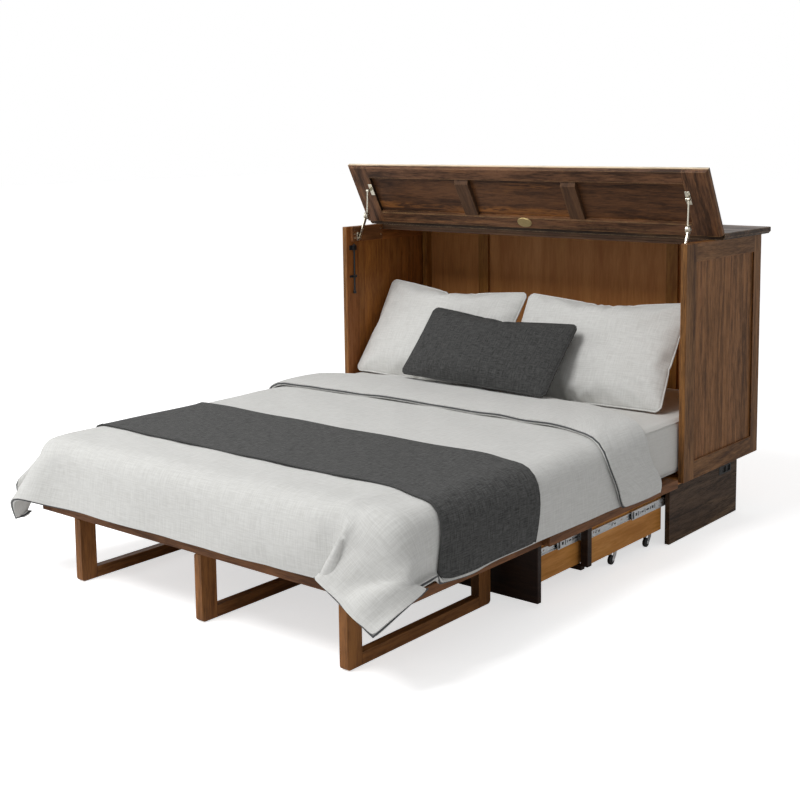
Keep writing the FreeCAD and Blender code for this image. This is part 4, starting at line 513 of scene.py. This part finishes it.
def run_cloth(piece, frames, pressure=0.0, gravity=1.0, keep=True, **settings):
    only(piece)
    modifier = piece.modifiers.new("Cloth", "CLOTH")
    modifier.settings.quality = 6
    modifier.settings.effector_weights.gravity = gravity
    if pressure:
        modifier.settings.use_pressure = True
        modifier.settings.uniform_pressure_force = pressure
    for key, value in settings.items():
        setattr(modifier.settings, key, value)
    modifier.collision_settings.distance_min = 0.004
    modifier.collision_settings.collision_quality = 3
    modifier.collision_settings.use_self_collision = False
    modifier.point_cache.frame_start, modifier.point_cache.frame_end = 1, frames
    for number in range(1, frames + 1):
        bpy.context.scene.frame_set(number)
    if keep:
        bpy.ops.object.modifier_apply(modifier="Cloth")
        bpy.context.scene.frame_set(1)


def tube(name, line, radius, material, closed=True):
    """A seam cord along a line, as a mesh."""
    curve = bpy.data.curves.new(name, "CURVE")
    curve.dimensions = "3D"
    spline = curve.splines.new("POLY")
    spline.points.add(len(line) - 1)
    for point, place_at in zip(spline.points, line):
        point.co = (*place_at, 1)
    spline.use_cyclic_u = closed
    curve.bevel_depth = radius
    curve.bevel_resolution = 2
    curve.use_fill_caps = not closed
    piece = bpy.data.objects.new(name, curve)
    bpy.context.collection.objects.link(piece)
    only(piece)
    bpy.ops.object.convert(target="MESH")
    bpy.context.object.data.materials.append(material)
    return bpy.context.object


def merged(piece, *others):
    only(piece)
    for other in others:
        other.select_set(True)
    bpy.ops.object.join()
    return bpy.context.object


def covered(piece, material):
    piece.data.materials.clear()
    piece.data.materials.append(material)
    return piece


def dressed(piece, body):
    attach(piece, body)
    return piece


def pick(piece, kind, chosen):
    """Leaves the piece in edit mode with the chosen ones of its edges or faces selected."""
    only(piece)
    bpy.ops.object.mode_set(mode="EDIT")
    bpy.ops.mesh.select_mode(type=kind)
    bpy.ops.mesh.select_all(action="DESELECT")
    bpy.ops.object.mode_set(mode="OBJECT")
    for part in piece.data.edges if kind == "EDGE" else piece.data.polygons:
        part.select = chosen(part)
    bpy.ops.object.mode_set(mode="EDIT")


# ---------------------------------------------------------------- the duvet's hang
ACROSS, ALONG = 75, 64


def head_edge(s):
    """Where the duvet's head fold lies, across its flat width: drawn down towards the shoulders."""
    hem = np.clip((np.abs(s) - 0.90) / (DUVET_HALF - 0.90), 0, 1)
    shoulders = 0.16 * hump(np.abs(s), 0.80, 0.16)
    return (0.425 - shoulders - 0.03 * np.clip(np.abs(s) / 0.6, 0, 1) ** 2
            - 0.055 * (1 - np.sqrt(1 - hem ** 2 * 0.999)))


def held_corners(at, u):
    """Where points of the duvet's hem end up, by point number."""
    tip, foot_fold, side_fold = (np.array(end) for end in (RIGHT_FLAP_TIP, RIGHT_FLAP_FOOT_FOLD,
                                                           RIGHT_FLAP_SIDE_FOLD))
    held = {int(at[0, 0]): LEFT_FLAP_TIP, int(at[0, 2]): LEFT_FLAP_FOOT, int(at[2, 0]): LEFT_FLAP_SIDE}
    for column in range(ACROSS):
        along_hem = u[column] * DUVET_HALF
        if FOOT_HEM_HELD[0] < along_hem < FOOT_HEM_HELD[1]:
            held[int(at[0, column])] = (along_hem, FOOT_HEM_Y, FOOT_HEM_Z)
        elif along_hem > FOLD_START:
            share = (along_hem - FOLD_START) / (DUVET_HALF - FOLD_START)
            held[int(at[0, column])] = tuple(foot_fold + (tip - foot_fold) * share)
    for row in range(1, 9):
        held[int(at[row, -1])] = tuple(tip + (side_fold - tip) * row / 8)
    for row, end in RIGHT_SIDE_HELD.items():
        held[int(at[row, -1])] = end
    return held


def hang_duvet():
    """The duvet's middle surface, laid flat over the bed and let fall down its sides and foot."""
    piece = cloth_grid("duvet_hang", ACROSS, ALONG)
    u = np.linspace(-1, 1, ACROSS)
    s, t = np.meshgrid(u * DUVET_HALF, np.linspace(0, 1, ALONG))
    y = DUVET_FOOT + t * (head_edge(s) - DUVET_FOOT)
    order = laid(piece, np.stack([s, y, np.full_like(s, MATTRESS_TOP + DUVET_LIFT + 0.002)], axis=-1))
    lying = piece.vertex_groups.new(name="lying")
    still = ((np.abs(s) < STILL_HALF) & (y > STILL_FROM) & (y < STILL_TO)).ravel()
    lying.add([int(i) for i in np.sort(order[still])], 1.0, "REPLACE")
    held = held_corners(order.reshape(ALONG, ACROSS), u)
    lying.add(list(held), 1.0, "REPLACE")
    piece.shape_key_add(name="flat")
    folded = piece.shape_key_add(name="corners folded")
    for number, end in held.items():
        folded.data[number].co = end
    for value, time in ((0.0, 1), (1.0, 30)):
        folded.value = value
        folded.keyframe_insert("value", frame=time)
    bed = block("bed_form", (-MATTRESS_HALF - 0.002, MATTRESS_FOOT, 0.20),
                (MATTRESS_HALF + 0.002, MATTRESS_HEAD, MATTRESS_TOP))
    finished(bed, "BEVEL", width=0.040, segments=5, limit_method="ANGLE")
    forms = [bed, block("panel_form", *PANEL_FORM)]
    for form in forms:
        only(form)
        form.modifiers.new("Collision", "COLLISION")
        form.collision.thickness_outer = DUVET_LIFT - 0.004
        form.collision.cloth_friction = 12
    run_cloth(piece, 60, keep=False, mass=0.35, tension_stiffness=25,
              compression_stiffness=25, shear_stiffness=8, bending_stiffness=36, air_damping=1.5,
              vertex_group_mass="lying")
    fallen = piece.evaluated_get(bpy.context.evaluated_depsgraph_get())
    rows = points_of(fallen)[order].reshape(ALONG, ACROSS, 3)
    bpy.context.scene.frame_set(1)
    for gone in forms + [piece]:
        bpy.data.objects.remove(gone, do_unlink=True)
    for moved in list(bpy.data.actions):
        bpy.data.actions.remove(moved)
    past = np.clip(LEFT_FLAP_LIMIT - rows[..., 0], 0, None) * LEFT_FLAP_SHARE
    return rows + past[..., None] * np.array(LEFT_FLAP_WAY)


def normals_of(rows):
    du = np.gradient(rows, axis=1)
    dv = np.gradient(rows, axis=0)
    n = np.cross(du, dv)
    n /= np.linalg.norm(n, axis=2, keepdims=True) + 1e-12
    return n


def lay_on(rows, ups, s, y_flat):
    """The places and normals of the hung duvet under points of its flat cut."""
    i = (s / DUVET_HALF + 1) / 2 * (ACROSS - 1)
    j = (y_flat - DUVET_FOOT) / (head_edge(s) - DUVET_FOOT) * (ALONG - 1)
    i, j = np.clip(i, 0, ACROSS - 1.001), np.clip(j, 0, ALONG - 1.001)
    i0, j0 = i.astype(int), j.astype(int)
    fi, fj = (i - i0)[..., None], (j - j0)[..., None]

    def read(field):
        return ((field[j0, i0] * (1 - fi) + field[j0, i0 + 1] * fi) * (1 - fj)
                + (field[j0 + 1, i0] * (1 - fi) + field[j0 + 1, i0 + 1] * fi) * fj)

    up = read(ups)
    return read(rows), up / np.linalg.norm(up, axis=-1, keepdims=True)


def sheet_mesh(name, rows, flat, thick):
    """A thickened sheet from rows of points, its own flat map in metres."""
    piece = cloth_grid(name, rows.shape[1], rows.shape[0])
    order = laid(piece, rows)
    cut = np.empty((len(order), 2))
    cut[order] = flat.reshape(-1, 2)
    loops = np.empty(len(piece.data.loops), int)
    piece.data.loops.foreach_get("vertex_index", loops)
    piece.data.uv_layers.active.data.foreach_set("uv", cut[loops].ravel())
    finished(piece, "SUBSURF", levels=1, render_levels=1)
    return finished(piece, "SOLIDIFY", thickness=thick, offset=0, use_even_offset=False)


def sewn(piece, name, material, *cords):
    """The piece covered in its cloth, with its seam cords made part of it."""
    piece = smooth(merged(covered(piece, material), *cords), 70)
    piece.name = name
    return piece


def relaxed(rows):
    """The rows with the cloth simulation's small jitter eased out."""
    out = rows.copy()
    rounds, pull = 2, 0.3
    for _ in range(rounds):
        inner = (out[:-2, 1:-1] + out[2:, 1:-1] + out[1:-1, :-2] + out[1:-1, 2:]) / 4
        out[1:-1, 1:-1] += pull * (inner - out[1:-1, 1:-1])
    return out


hang = relaxed(hang_duvet())
hang_ups = normals_of(hang)


def cuff_edge(s):
    """Where the folded cuff's front hem lies, in the flat cut."""
    return 0.095 - 0.02 * np.abs(s) / 0.7 - 0.085 * hump(s, 0.78, 0.12) - 0.03 * hump(s, -0.8, 0.15)


def make_duvet():
    s = np.linspace(-1, 1, ACROSS) * DUVET_HALF
    head, hem = head_edge(s), cuff_edge(s)
    flat_y = DUVET_FOOT + np.linspace(0, 1, ALONG)[:, None] * (head - DUVET_FOOT)[None, :]
    flat_body = np.stack(np.broadcast_arrays(s[None, :], flat_y), axis=-1)
    # the round of the head fold, then the cuff laid back over the duvet
    edge, up = hang[-1], hang_ups[-1]
    out = edge - hang[-3]
    out -= np.sum(out * up, axis=1, keepdims=True) * up
    out /= np.linalg.norm(out, axis=1, keepdims=True)
    fold, fold_flat = [], []
    for step in range(1, 6):
        angle = math.pi * step / 6
        turned = up / 2 * (1 - math.cos(angle)) + out * 0.62 * math.sin(angle)
        fold.append(edge + turned * CUFF_RISE)
        fold_flat.append(np.stack([s, head + CUFF_ROUND * step / 6], axis=-1))
    cuff, cuff_flat = [], []
    steps = 15
    for step in range(steps):
        share = step / (steps - 1)
        at, lift = lay_on(hang, hang_ups, s, head + (hem - head) * share)
        swell = 0.006 * math.sin(math.pi * share) - 0.0015 * max(0.0, share - 0.85) / 0.15
        ripple = 0.0022 * np.sin(s * 23 + share * 4) * np.sin(s * 9 + 1.3) * share
        cuff.append(at + lift * (CUFF_RISE + swell + ripple[:, None]))
        cuff_flat.append(np.stack([s, head + CUFF_ROUND + (head - hem) * share], axis=-1))
    rows = np.concatenate([hang, fold, cuff])
    flat = np.concatenate([flat_body, fold_flat, cuff_flat])
    # the filling's slow swells
    x, y = flat[..., 0], flat[..., 1]
    puff = FILLING_SWELL * np.sin(x * 19 + 2 * np.sin(y * 7)) * np.sin(y * 16 + 1.5 * np.sin(x * 9))
    rows = rows + normals_of(rows) * puff[..., None]
    rim = np.concatenate([rows[:, 0][::-1], rows[0, 1:], rows[1:, -1], rows[-1, :-1][::-1]])
    piece = sheet_mesh("linen_duvet", rows, flat, DUVET_THICK)
    piece = sewn(piece, "linen_duvet", linen, tube("duvet_hem_piping", rim, HEM_CORD_RADIUS, hem_cord_and_shade))
    dressed(piece, "cabinet")
    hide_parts("duvet")
    return piece


def make_runner():
    half_s, steps = 0.955, 13
    s = np.linspace(-half_s, half_s, ACROSS)
    drift = -0.085 * np.clip((s - 0.55) / 0.4, 0, 1) ** 1.3 - 0.012 * np.cos(s * 2.2)
    rows, flats = [], []
    for step in range(steps):
        share = step / (steps - 1)
        at, lift = lay_on(hang, hang_ups, s, -0.796 + 0.446 * share + drift)
        rise = DUVET_THICK / 2 + 0.0052 + 0.0012 * np.sin(s * 17 + share * 5)
        rows.append(at + lift * rise[:, None])
        flats.append(np.stack([s, np.full_like(s, 0.45 * share)], axis=-1))
    piece = sheet_mesh("charcoal_runner", relaxed(np.array(rows)), np.array(flats), RUNNER_THICK)
    hems = [tube("runner_hem", line, HEM_CORD_RADIUS, charcoal, closed=False) for line in (rows[0], rows[-1])]
    piece = sewn(piece, "charcoal_runner", charcoal, *hems)
    dressed(piece, "cabinet")
    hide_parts("bed_runner")
    return piece


# ---------------------------------------------------------------- cushions
CUSHION_DENTS = ((-0.35, 0.45, 0.12, -0.010), (0.30, 0.10, 0.16, -0.009), (0.05, -0.5, 0.14, -0.008))


def cushion(name, size, pressure, frames, lean, foot, turn, node, material):
    """A piped cushion: two pieces seamed round their rim, blown up by their filling, then leaned back and
    turned by that many degrees."""
    width, height, depth = size
    nx, ny = 41, max(17, int(41 * height / width))
    piece = cloth_grid(name, nx, ny)
    points = points_of(piece)
    count = len(points)
    u, v = points[:, 0] * 2, points[:, 1] * 2
    drawn_x, drawn_y = 1 - 0.008 * (1 - v ** 2), 1 - 0.015 * (1 - u ** 2)
    points = np.stack([u * width / 2 * drawn_x, v * height / 2 * drawn_y, np.full(len(u), 0.004)], axis=-1)
    # the cut corners are rounded a little
    rounding = 0.023
    past = np.clip(np.abs(points[:, :2]) - np.array([width / 2 - rounding, height / 2 - rounding]), 0, None)
    far = np.linalg.norm(past, axis=1)
    pull = np.where(far > rounding, 1 - rounding / np.maximum(far, 1e-9), 0.0)[:, None]
    points[:, :2] -= np.sign(points[:, :2]) * past * pull
    set_points(piece, points)
    rim = np.flatnonzero((np.abs(u) > 0.9999) | (np.abs(v) > 0.9999))
    rim = rim[np.argsort(np.arctan2(v[rim], u[rim]))]
    only(piece)
    bpy.ops.object.mode_set(mode="EDIT")
    bpy.ops.mesh.select_all(action="SELECT")
    bpy.ops.mesh.duplicate()
    bpy.ops.transform.translate(value=(0, 0, -0.008))
    bpy.ops.mesh.flip_normals()
    bpy.ops.mesh.select_all(action="DESELECT")
    bpy.ops.mesh.select_mode(type="EDGE")
    bpy.ops.mesh.select_non_manifold()
    bpy.ops.mesh.bridge_edge_loops()
    bpy.ops.mesh.select_all(action="SELECT")
    bpy.ops.mesh.normals_make_consistent(inside=False)
    bpy.ops.object.mode_set(mode="OBJECT")
    run_cloth(piece, frames, pressure=pressure, gravity=0.0, mass=0.3, tension_stiffness=80,
              compression_stiffness=60, shear_stiffness=8, bending_stiffness=1.0, air_damping=2)
    points = points_of(piece)
    un, vn = np.tile(u, 2), np.tile(v, 2)
    low, high = points.min(axis=0), points.max(axis=0)
    points = (points - (low + high) / 2) / (high - low) * np.array([width, height, depth])
    # the lower seam is set down flat, as its own weight does
    lowest = np.flatnonzero((v < -0.9999) & (np.abs(u) < 0.88))
    lowest = lowest[np.argsort(u[lowest])]
    sag = np.interp(un, u[lowest], (points[lowest, 1] + points[lowest + count, 1]) / 2 + height / 2)
    points[:, 1] -= sag * np.clip(-vn, 0, 1) ** 0.8 * np.clip((1 - np.abs(un)) / 0.12, 0, 1)
    # gathers that run in from the seam and from the corners, and the soft dents a hand leaves
    edge = np.clip(np.maximum(np.abs(un), np.abs(vn)), 0, 1)
    angle = np.arctan2(vn, un)
    gathers = np.sin(angle * 21 + 2.3 * np.sin(angle * 3 + foot[0] * 7)) * hump(edge, 0.80, 0.15)
    corner = hump(np.abs(un * vn), 0.72, 0.22) * np.sin((np.abs(un) - np.abs(vn)) * 26 + foot[0] * 9)
    dents = sum(deep * hump(un, x, 0.30) * hump(vn, y, wide) for x, y, wide, deep in CUSHION_DENTS)
    pressed = hump(un, 0.74, 0.26) * hump(vn, -0.55, 0.34) * np.sin((vn + 0.45 * un) * 27)
    creases = 0.0042 * pressed + 0.0042 * gathers + 0.0050 * corner + dents * depth / 0.15
    points[:, 2] += np.sign(points[:, 2]) * creases * (edge < 0.999)
    set_points(piece, points)
    seam = (points[rim] + points[rim + count]) / 2
    finished(piece, "SUBSURF", levels=1, render_levels=1)
    piping = tube(name + "_piping", seam, 0.0036, material)
    piece = sewn(piece, name, material, piping)
    leaned = Matrix.Rotation(-math.radians(lean), 4, "X") @ Matrix.Rotation(math.radians(turn), 4, "Y")
    stood = Matrix.Translation((0, 0, height / 2)) @ Matrix.Rotation(math.pi / 2, 4, "X")
    piece.data.transform(Matrix.Translation(foot) @ leaned @ stood)
    dressed(piece, "cabinet")
    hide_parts(node)
    return piece


def make_cushions():
    pillow, foot_z = (0.700, 0.430, 0.150), MATTRESS_TOP + 0.006
    return [
        cushion("linen_pillow_left", pillow, 2.1, 12, 34, (-0.405, 0.535, foot_z), 1,
                "pillow_left", pillow_linen),
        cushion("linen_pillow_right", pillow, 2.0, 12, 34, (0.325, 0.535, foot_z), -1,
                "pillow_right", pillow_linen),
        cushion("charcoal_lumbar", (0.680, 0.315, 0.110), 2.0, 11, 42, (-0.037, 0.371, 0.4914), 1.5,
                "lumbar_cushion", charcoal_cushion),
    ]


def make_mattress():
    """The mattress in its fitted sheet: soft corners and piped edges."""
    piece = block("mattress_in_sheet", (-MATTRESS_HALF, MATTRESS_FOOT, MATTRESS_BOTTOM),
                  (MATTRESS_HALF, MATTRESS_HEAD, MATTRESS_TOP))

    def upright(edge):
        a, b = (piece.data.vertices[i].co for i in edge.vertices)
        return abs(a.z - b.z) > 0.01

    pick(piece, "EDGE", upright)
    bpy.ops.mesh.bevel(offset=MATTRESS_CORNER, segments=6)
    bpy.ops.object.mode_set(mode="OBJECT")
    finished(piece, "BEVEL", width=0.034, segments=6, limit_method="ANGLE", angle_limit=math.radians(60))
    smooth(piece, 50)
    edge_lines = []
    for z in (MATTRESS_TOP - 0.010, MATTRESS_BOTTOM + 0.010):
        turn_radius, line = MATTRESS_CORNER - 0.0085, []
        for cx, cy, start in ((1, 1, 0), (-1, 1, 90), (-1, -1, 180), (1, -1, 270)):
            middle_x = (MATTRESS_HALF - MATTRESS_CORNER) * cx
            middle_y = MATTRESS_HEAD - MATTRESS_CORNER if cy > 0 else MATTRESS_FOOT + MATTRESS_CORNER
            for step in range(7):
                angle = math.radians(start + 15 * step)
                line.append((middle_x + turn_radius * math.cos(angle),
                             middle_y + turn_radius * math.sin(angle), z))
        edge_lines.append(tube("mattress_piping", line, 0.0028, sheet_cotton))
    piece = merged(covered(piece, sheet_cotton), *edge_lines)
    piece.name = "mattress_in_sheet"
    dressed(piece, "cabinet")
    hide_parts("mattress")
    return piece


# ---------------------------------------------------------------- small hard pieces
def knob(name, at, radius, half_width):
    """A round pressed knob whose flat sides carry a sunk rivet."""
    bpy.ops.object.select_all(action="DESELECT")
    bpy.ops.mesh.primitive_uv_sphere_add(segments=28, ring_count=14, radius=radius,
                                         rotation=(0, math.pi / 2, 0))
    piece = bpy.context.object
    piece.name = name
    settled(piece)
    piece.scale = (half_width / radius, 1, 1)
    piece.location = at
    settled(piece)
    for way in (-1, 1):
        side_x = at[0] + way * half_width
        pick(piece, "FACE", lambda face: abs(face.center.x - side_x) < half_width * 0.12)
        bpy.ops.mesh.inset(thickness=radius * 0.10, depth=-half_width * 0.10)
        bpy.ops.object.mode_set(mode="OBJECT")
    return smooth(piece, 35)


def disc_x(name, at, radius, width, rounding):
    bpy.ops.object.select_all(action="DESELECT")
    bpy.ops.mesh.primitive_cylinder_add(vertices=20, radius=radius, depth=width, location=at,
                                        rotation=(0, math.pi / 2, 0))
    piece = bpy.context.object
    piece.name = name
    settled(piece)
    finished(piece, "BEVEL", width=rounding, segments=2, limit_method="ANGLE")
    return smooth(piece, 40)


def soft_block(name, low, high, rounding):
    piece = block(name, low, high)
    finished(piece, "BEVEL", width=rounding, segments=2, limit_method="ANGLE")
    return smooth(piece, 40)


def gathered(name, pieces, material, body):
    piece = merged(*pieces) if len(pieces) > 1 else pieces[0]
    piece.name = name
    return dressed(covered(piece, material), body)


def slide_marks(name, body, face, front, rear, with_stop):
    """What shows on a slide member: punched slots and screw holes, drawn as black marks that paint the shade
    inside them, and the black stop at its front end.
    """
    if with_stop:
        y_from, gaps = front + 0.022, (0.006,)
        pattern = ((0.012, 0.010), (0.005, 0.016), (0.005, 0.008), (0.016, 0.005), (0.005, 0.012),
                   (0.020, 0.006), (0.006, 0.010))
    else:
        y_from, gaps, pattern = front + 0.014, (0.012, 0.075), ((0.005, 0.005), (0.009, 0.005))
    dark, stops = [], []
    for way in (-1, 1):
        x, y, number = way * face, y_from, 0
        low_x, high_x = sorted((x - 0.0005 * way, x + 0.00015 * way))
        while y < rear - 0.03 and number < 15:
            long, high = pattern[number % len(pattern)]
            # each punched opening is a black mark: painted shade where the steel is cut through
            dark.append(soft_block(name + "_slot", (low_x, y, SLIDE_Z - high / 2),
                                   (high_x, y + long, SLIDE_Z + high / 2), 0.0012))
            y += long + gaps[number % len(gaps)]
            number += 1
        if with_stop:
            low_x, high_x = sorted((x - 0.004 * way, x + 0.0002 * way))
            stops.append(soft_block(name + "_stop", (low_x, front + 0.001, SLIDE_Z - 0.0135),
                                    (high_x, front + 0.015, SLIDE_Z + 0.0135), 0.002))
    gathered(name, dark + stops, slide_plastic_and_hole_shade, body)


def lid_strip(up, low_up, proud, half, rounding):
    """A moulding along the lid's lower rail, between two distances up from the hinges."""
    piece = block("bead", (-half, low_up, 0.0205), (half, up, 0.0217 + proud))
    finished(piece, "BEVEL", width=rounding, segments=3, limit_method="ANGLE")
    smooth(piece, 40)
    u, n = LID_UP, LID_OUT
    piece.data.transform(Matrix(((1, 0, 0, 0), (0, u[1], n[1], LID_HINGE_Y), (0, u[2], n[2], LID_HINGE_Z),
                                 (0, 0, 0, 1))))
    return piece


def badge_rim():
    """The raised rim round the oval badge, on the lid's opened underside."""
    up = Vector(LID_UP) * 0.0180
    middle = Vector((0, 0.6821, 1.08435)) + Vector(LID_OUT) * 0.0016
    angles = np.linspace(0, 2 * math.pi, 40, endpoint=False)
    line = [middle + Vector((0.0300 * math.cos(a), 0, 0)) + up * math.sin(a) for a in angles]
    gathered("badge_rim", [tube("rim", line, 0.0014, brass)], brass, "lid")


slide_marks("carriage_middle_marks", "carriage_slide", 0.7376, 0.2415, 0.43, True)
slide_marks("carriage_rail_marks", "carriage", 0.7337, 0.0, 0.2415, False)
slide_marks("drawer_middle_marks", "drawer_slide", 0.7099, -0.170, -0.045, True)
slide_marks("drawer_rail_marks", "drawer", 0.7060, -0.295, -0.190, False)
elbows = [knob("elbow", (x, 0.601, 1.091), 0.0135, 0.0088) for x in (-0.7415, 0.7415)]
gathered("stay_elbow_knobs", elbows, nickel, "stay_lower")
beads = [lid_strip(0.0185, 0.0125, 0.0022, 0.722, 0.0020), lid_strip(0.0470, 0.0425, 0.0016, 0.718, 0.0015)]
gathered("lid_rail_mouldings", beads, lid_frame_wood, "lid")
badge_rim()
for end, axle_y in (("front", 0.164), ("rear", 0.397)):
    for side, way in (("left", -1), ("right", 1)):
        caster_nuts = [disc_x("nut", (way * CASTER_X + off, axle_y, 0.016), 0.0048, 0.0018, 0.0005)
                       for off in (-NUT_OFF, NUT_OFF)]
        gathered(f"caster_nuts_{end}_{side}", caster_nuts, caster_metal, f"fork_{end}_{side}")


# the covers hang past the cabinet's sides
bedding = [(make_mattress(), FILLED_KEEP), (make_duvet(), COVER_KEEP), (make_runner(), COVER_KEEP)]
bedding += [(piece, FILLED_KEEP) for piece in make_cushions()]
for piece, keep in bedding:
    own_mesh(piece)


# ---------------------------------------------------------------- floor, light and camera
def studio():
    bpy.ops.object.select_all(action="DESELECT")
    bpy.ops.mesh.primitive_plane_add(size=60, location=(0, 0, -0.0015))
    floor = bpy.context.object
    floor.name = "studio_floor"
    settled(floor)
    material, tree, surface = fresh("pale floor", Roughness=0.85, Specular_IOR_Level=0.1)
    surface.inputs["Base Color"].default_value = (0.90, 0.90, 0.90, 1)
    seen = place(tree, "ShaderNodeLightPath").outputs["Is Camera Ray"]
    bright = maths(tree, "MULTIPLY", seen, 0.62)
    glow = place(tree, "ShaderNodeEmission", {"Color": (1, 1, 1, 1), "Strength": bright})
    both = place(tree, "ShaderNodeAddShader", {0: surface.outputs[0], 1: glow.outputs[0]})
    join(tree, both.outputs[0], tree.nodes["Material Output"].inputs["Surface"])
    floor.data.materials.append(material)
    world = bpy.data.worlds.new("plain studio")
    bpy.context.scene.world = world
    world.use_nodes = True
    tree = world.node_tree
    rays = place(tree, "ShaderNodeLightPath").outputs
    seen = maths(tree, "MAXIMUM", rays["Is Glossy Ray"], rays["Is Transmission Ray"])
    seen = maths(tree, "MAXIMUM", rays["Is Camera Ray"], seen)
    background = tree.nodes["Background"]
    background.inputs["Color"].default_value = (1, 1, 1, 1)
    join(tree, maths(tree, "ADD", maths(tree, "MULTIPLY", seen, 0.60), 0.40), background.inputs["Strength"])
    for name, spot, aim, size, power in (("key light", (-0.9, -3.0, 4.9), (0, 0, 0.5), 2.4, 188),
                                         ("side light", (-4.2, -2.4, 2.6), (0, 0, 0.6), 3.0, 45)):
        lamp = bpy.data.lights.new(name, "AREA")
        lamp.size, lamp.energy = size, power
        holder = bpy.data.objects.new(name, lamp)
        bpy.context.collection.objects.link(holder)
        holder.location = spot
        holder.rotation_euler = (Vector(aim) - Vector(spot)).to_track_quat("-Z", "Y").to_euler()


def camera():
    yaw, pitch, roll = (math.radians(a) for a in (39.17, -7.13, -0.60))
    forward = Vector((-math.sin(yaw) * math.cos(pitch), math.cos(yaw) * math.cos(pitch), math.sin(pitch)))
    right = Vector((math.cos(yaw), math.sin(yaw), 0))
    up = right.cross(forward)
    c, s = math.cos(roll), math.sin(roll)
    right, up = c * right + s * up, c * up - s * right
    lens = bpy.data.cameras.new("photograph view")
    lens.sensor_width, lens.lens = 36, 58.589
    lens.shift_x, lens.shift_y = -0.0221, -0.1329
    lens.clip_start, lens.clip_end = 0.1, 100
    eye = bpy.data.objects.new("photograph view", lens)
    bpy.context.collection.objects.link(eye)
    turn = Matrix((right, up, -forward)).transposed().to_4x4()
    eye.matrix_world = Matrix.Translation((2.85927, -3.48746, 1.4404)) @ turn
    bpy.context.scene.camera = eye


studio()
camera()
bpy.context.view_layer.update()
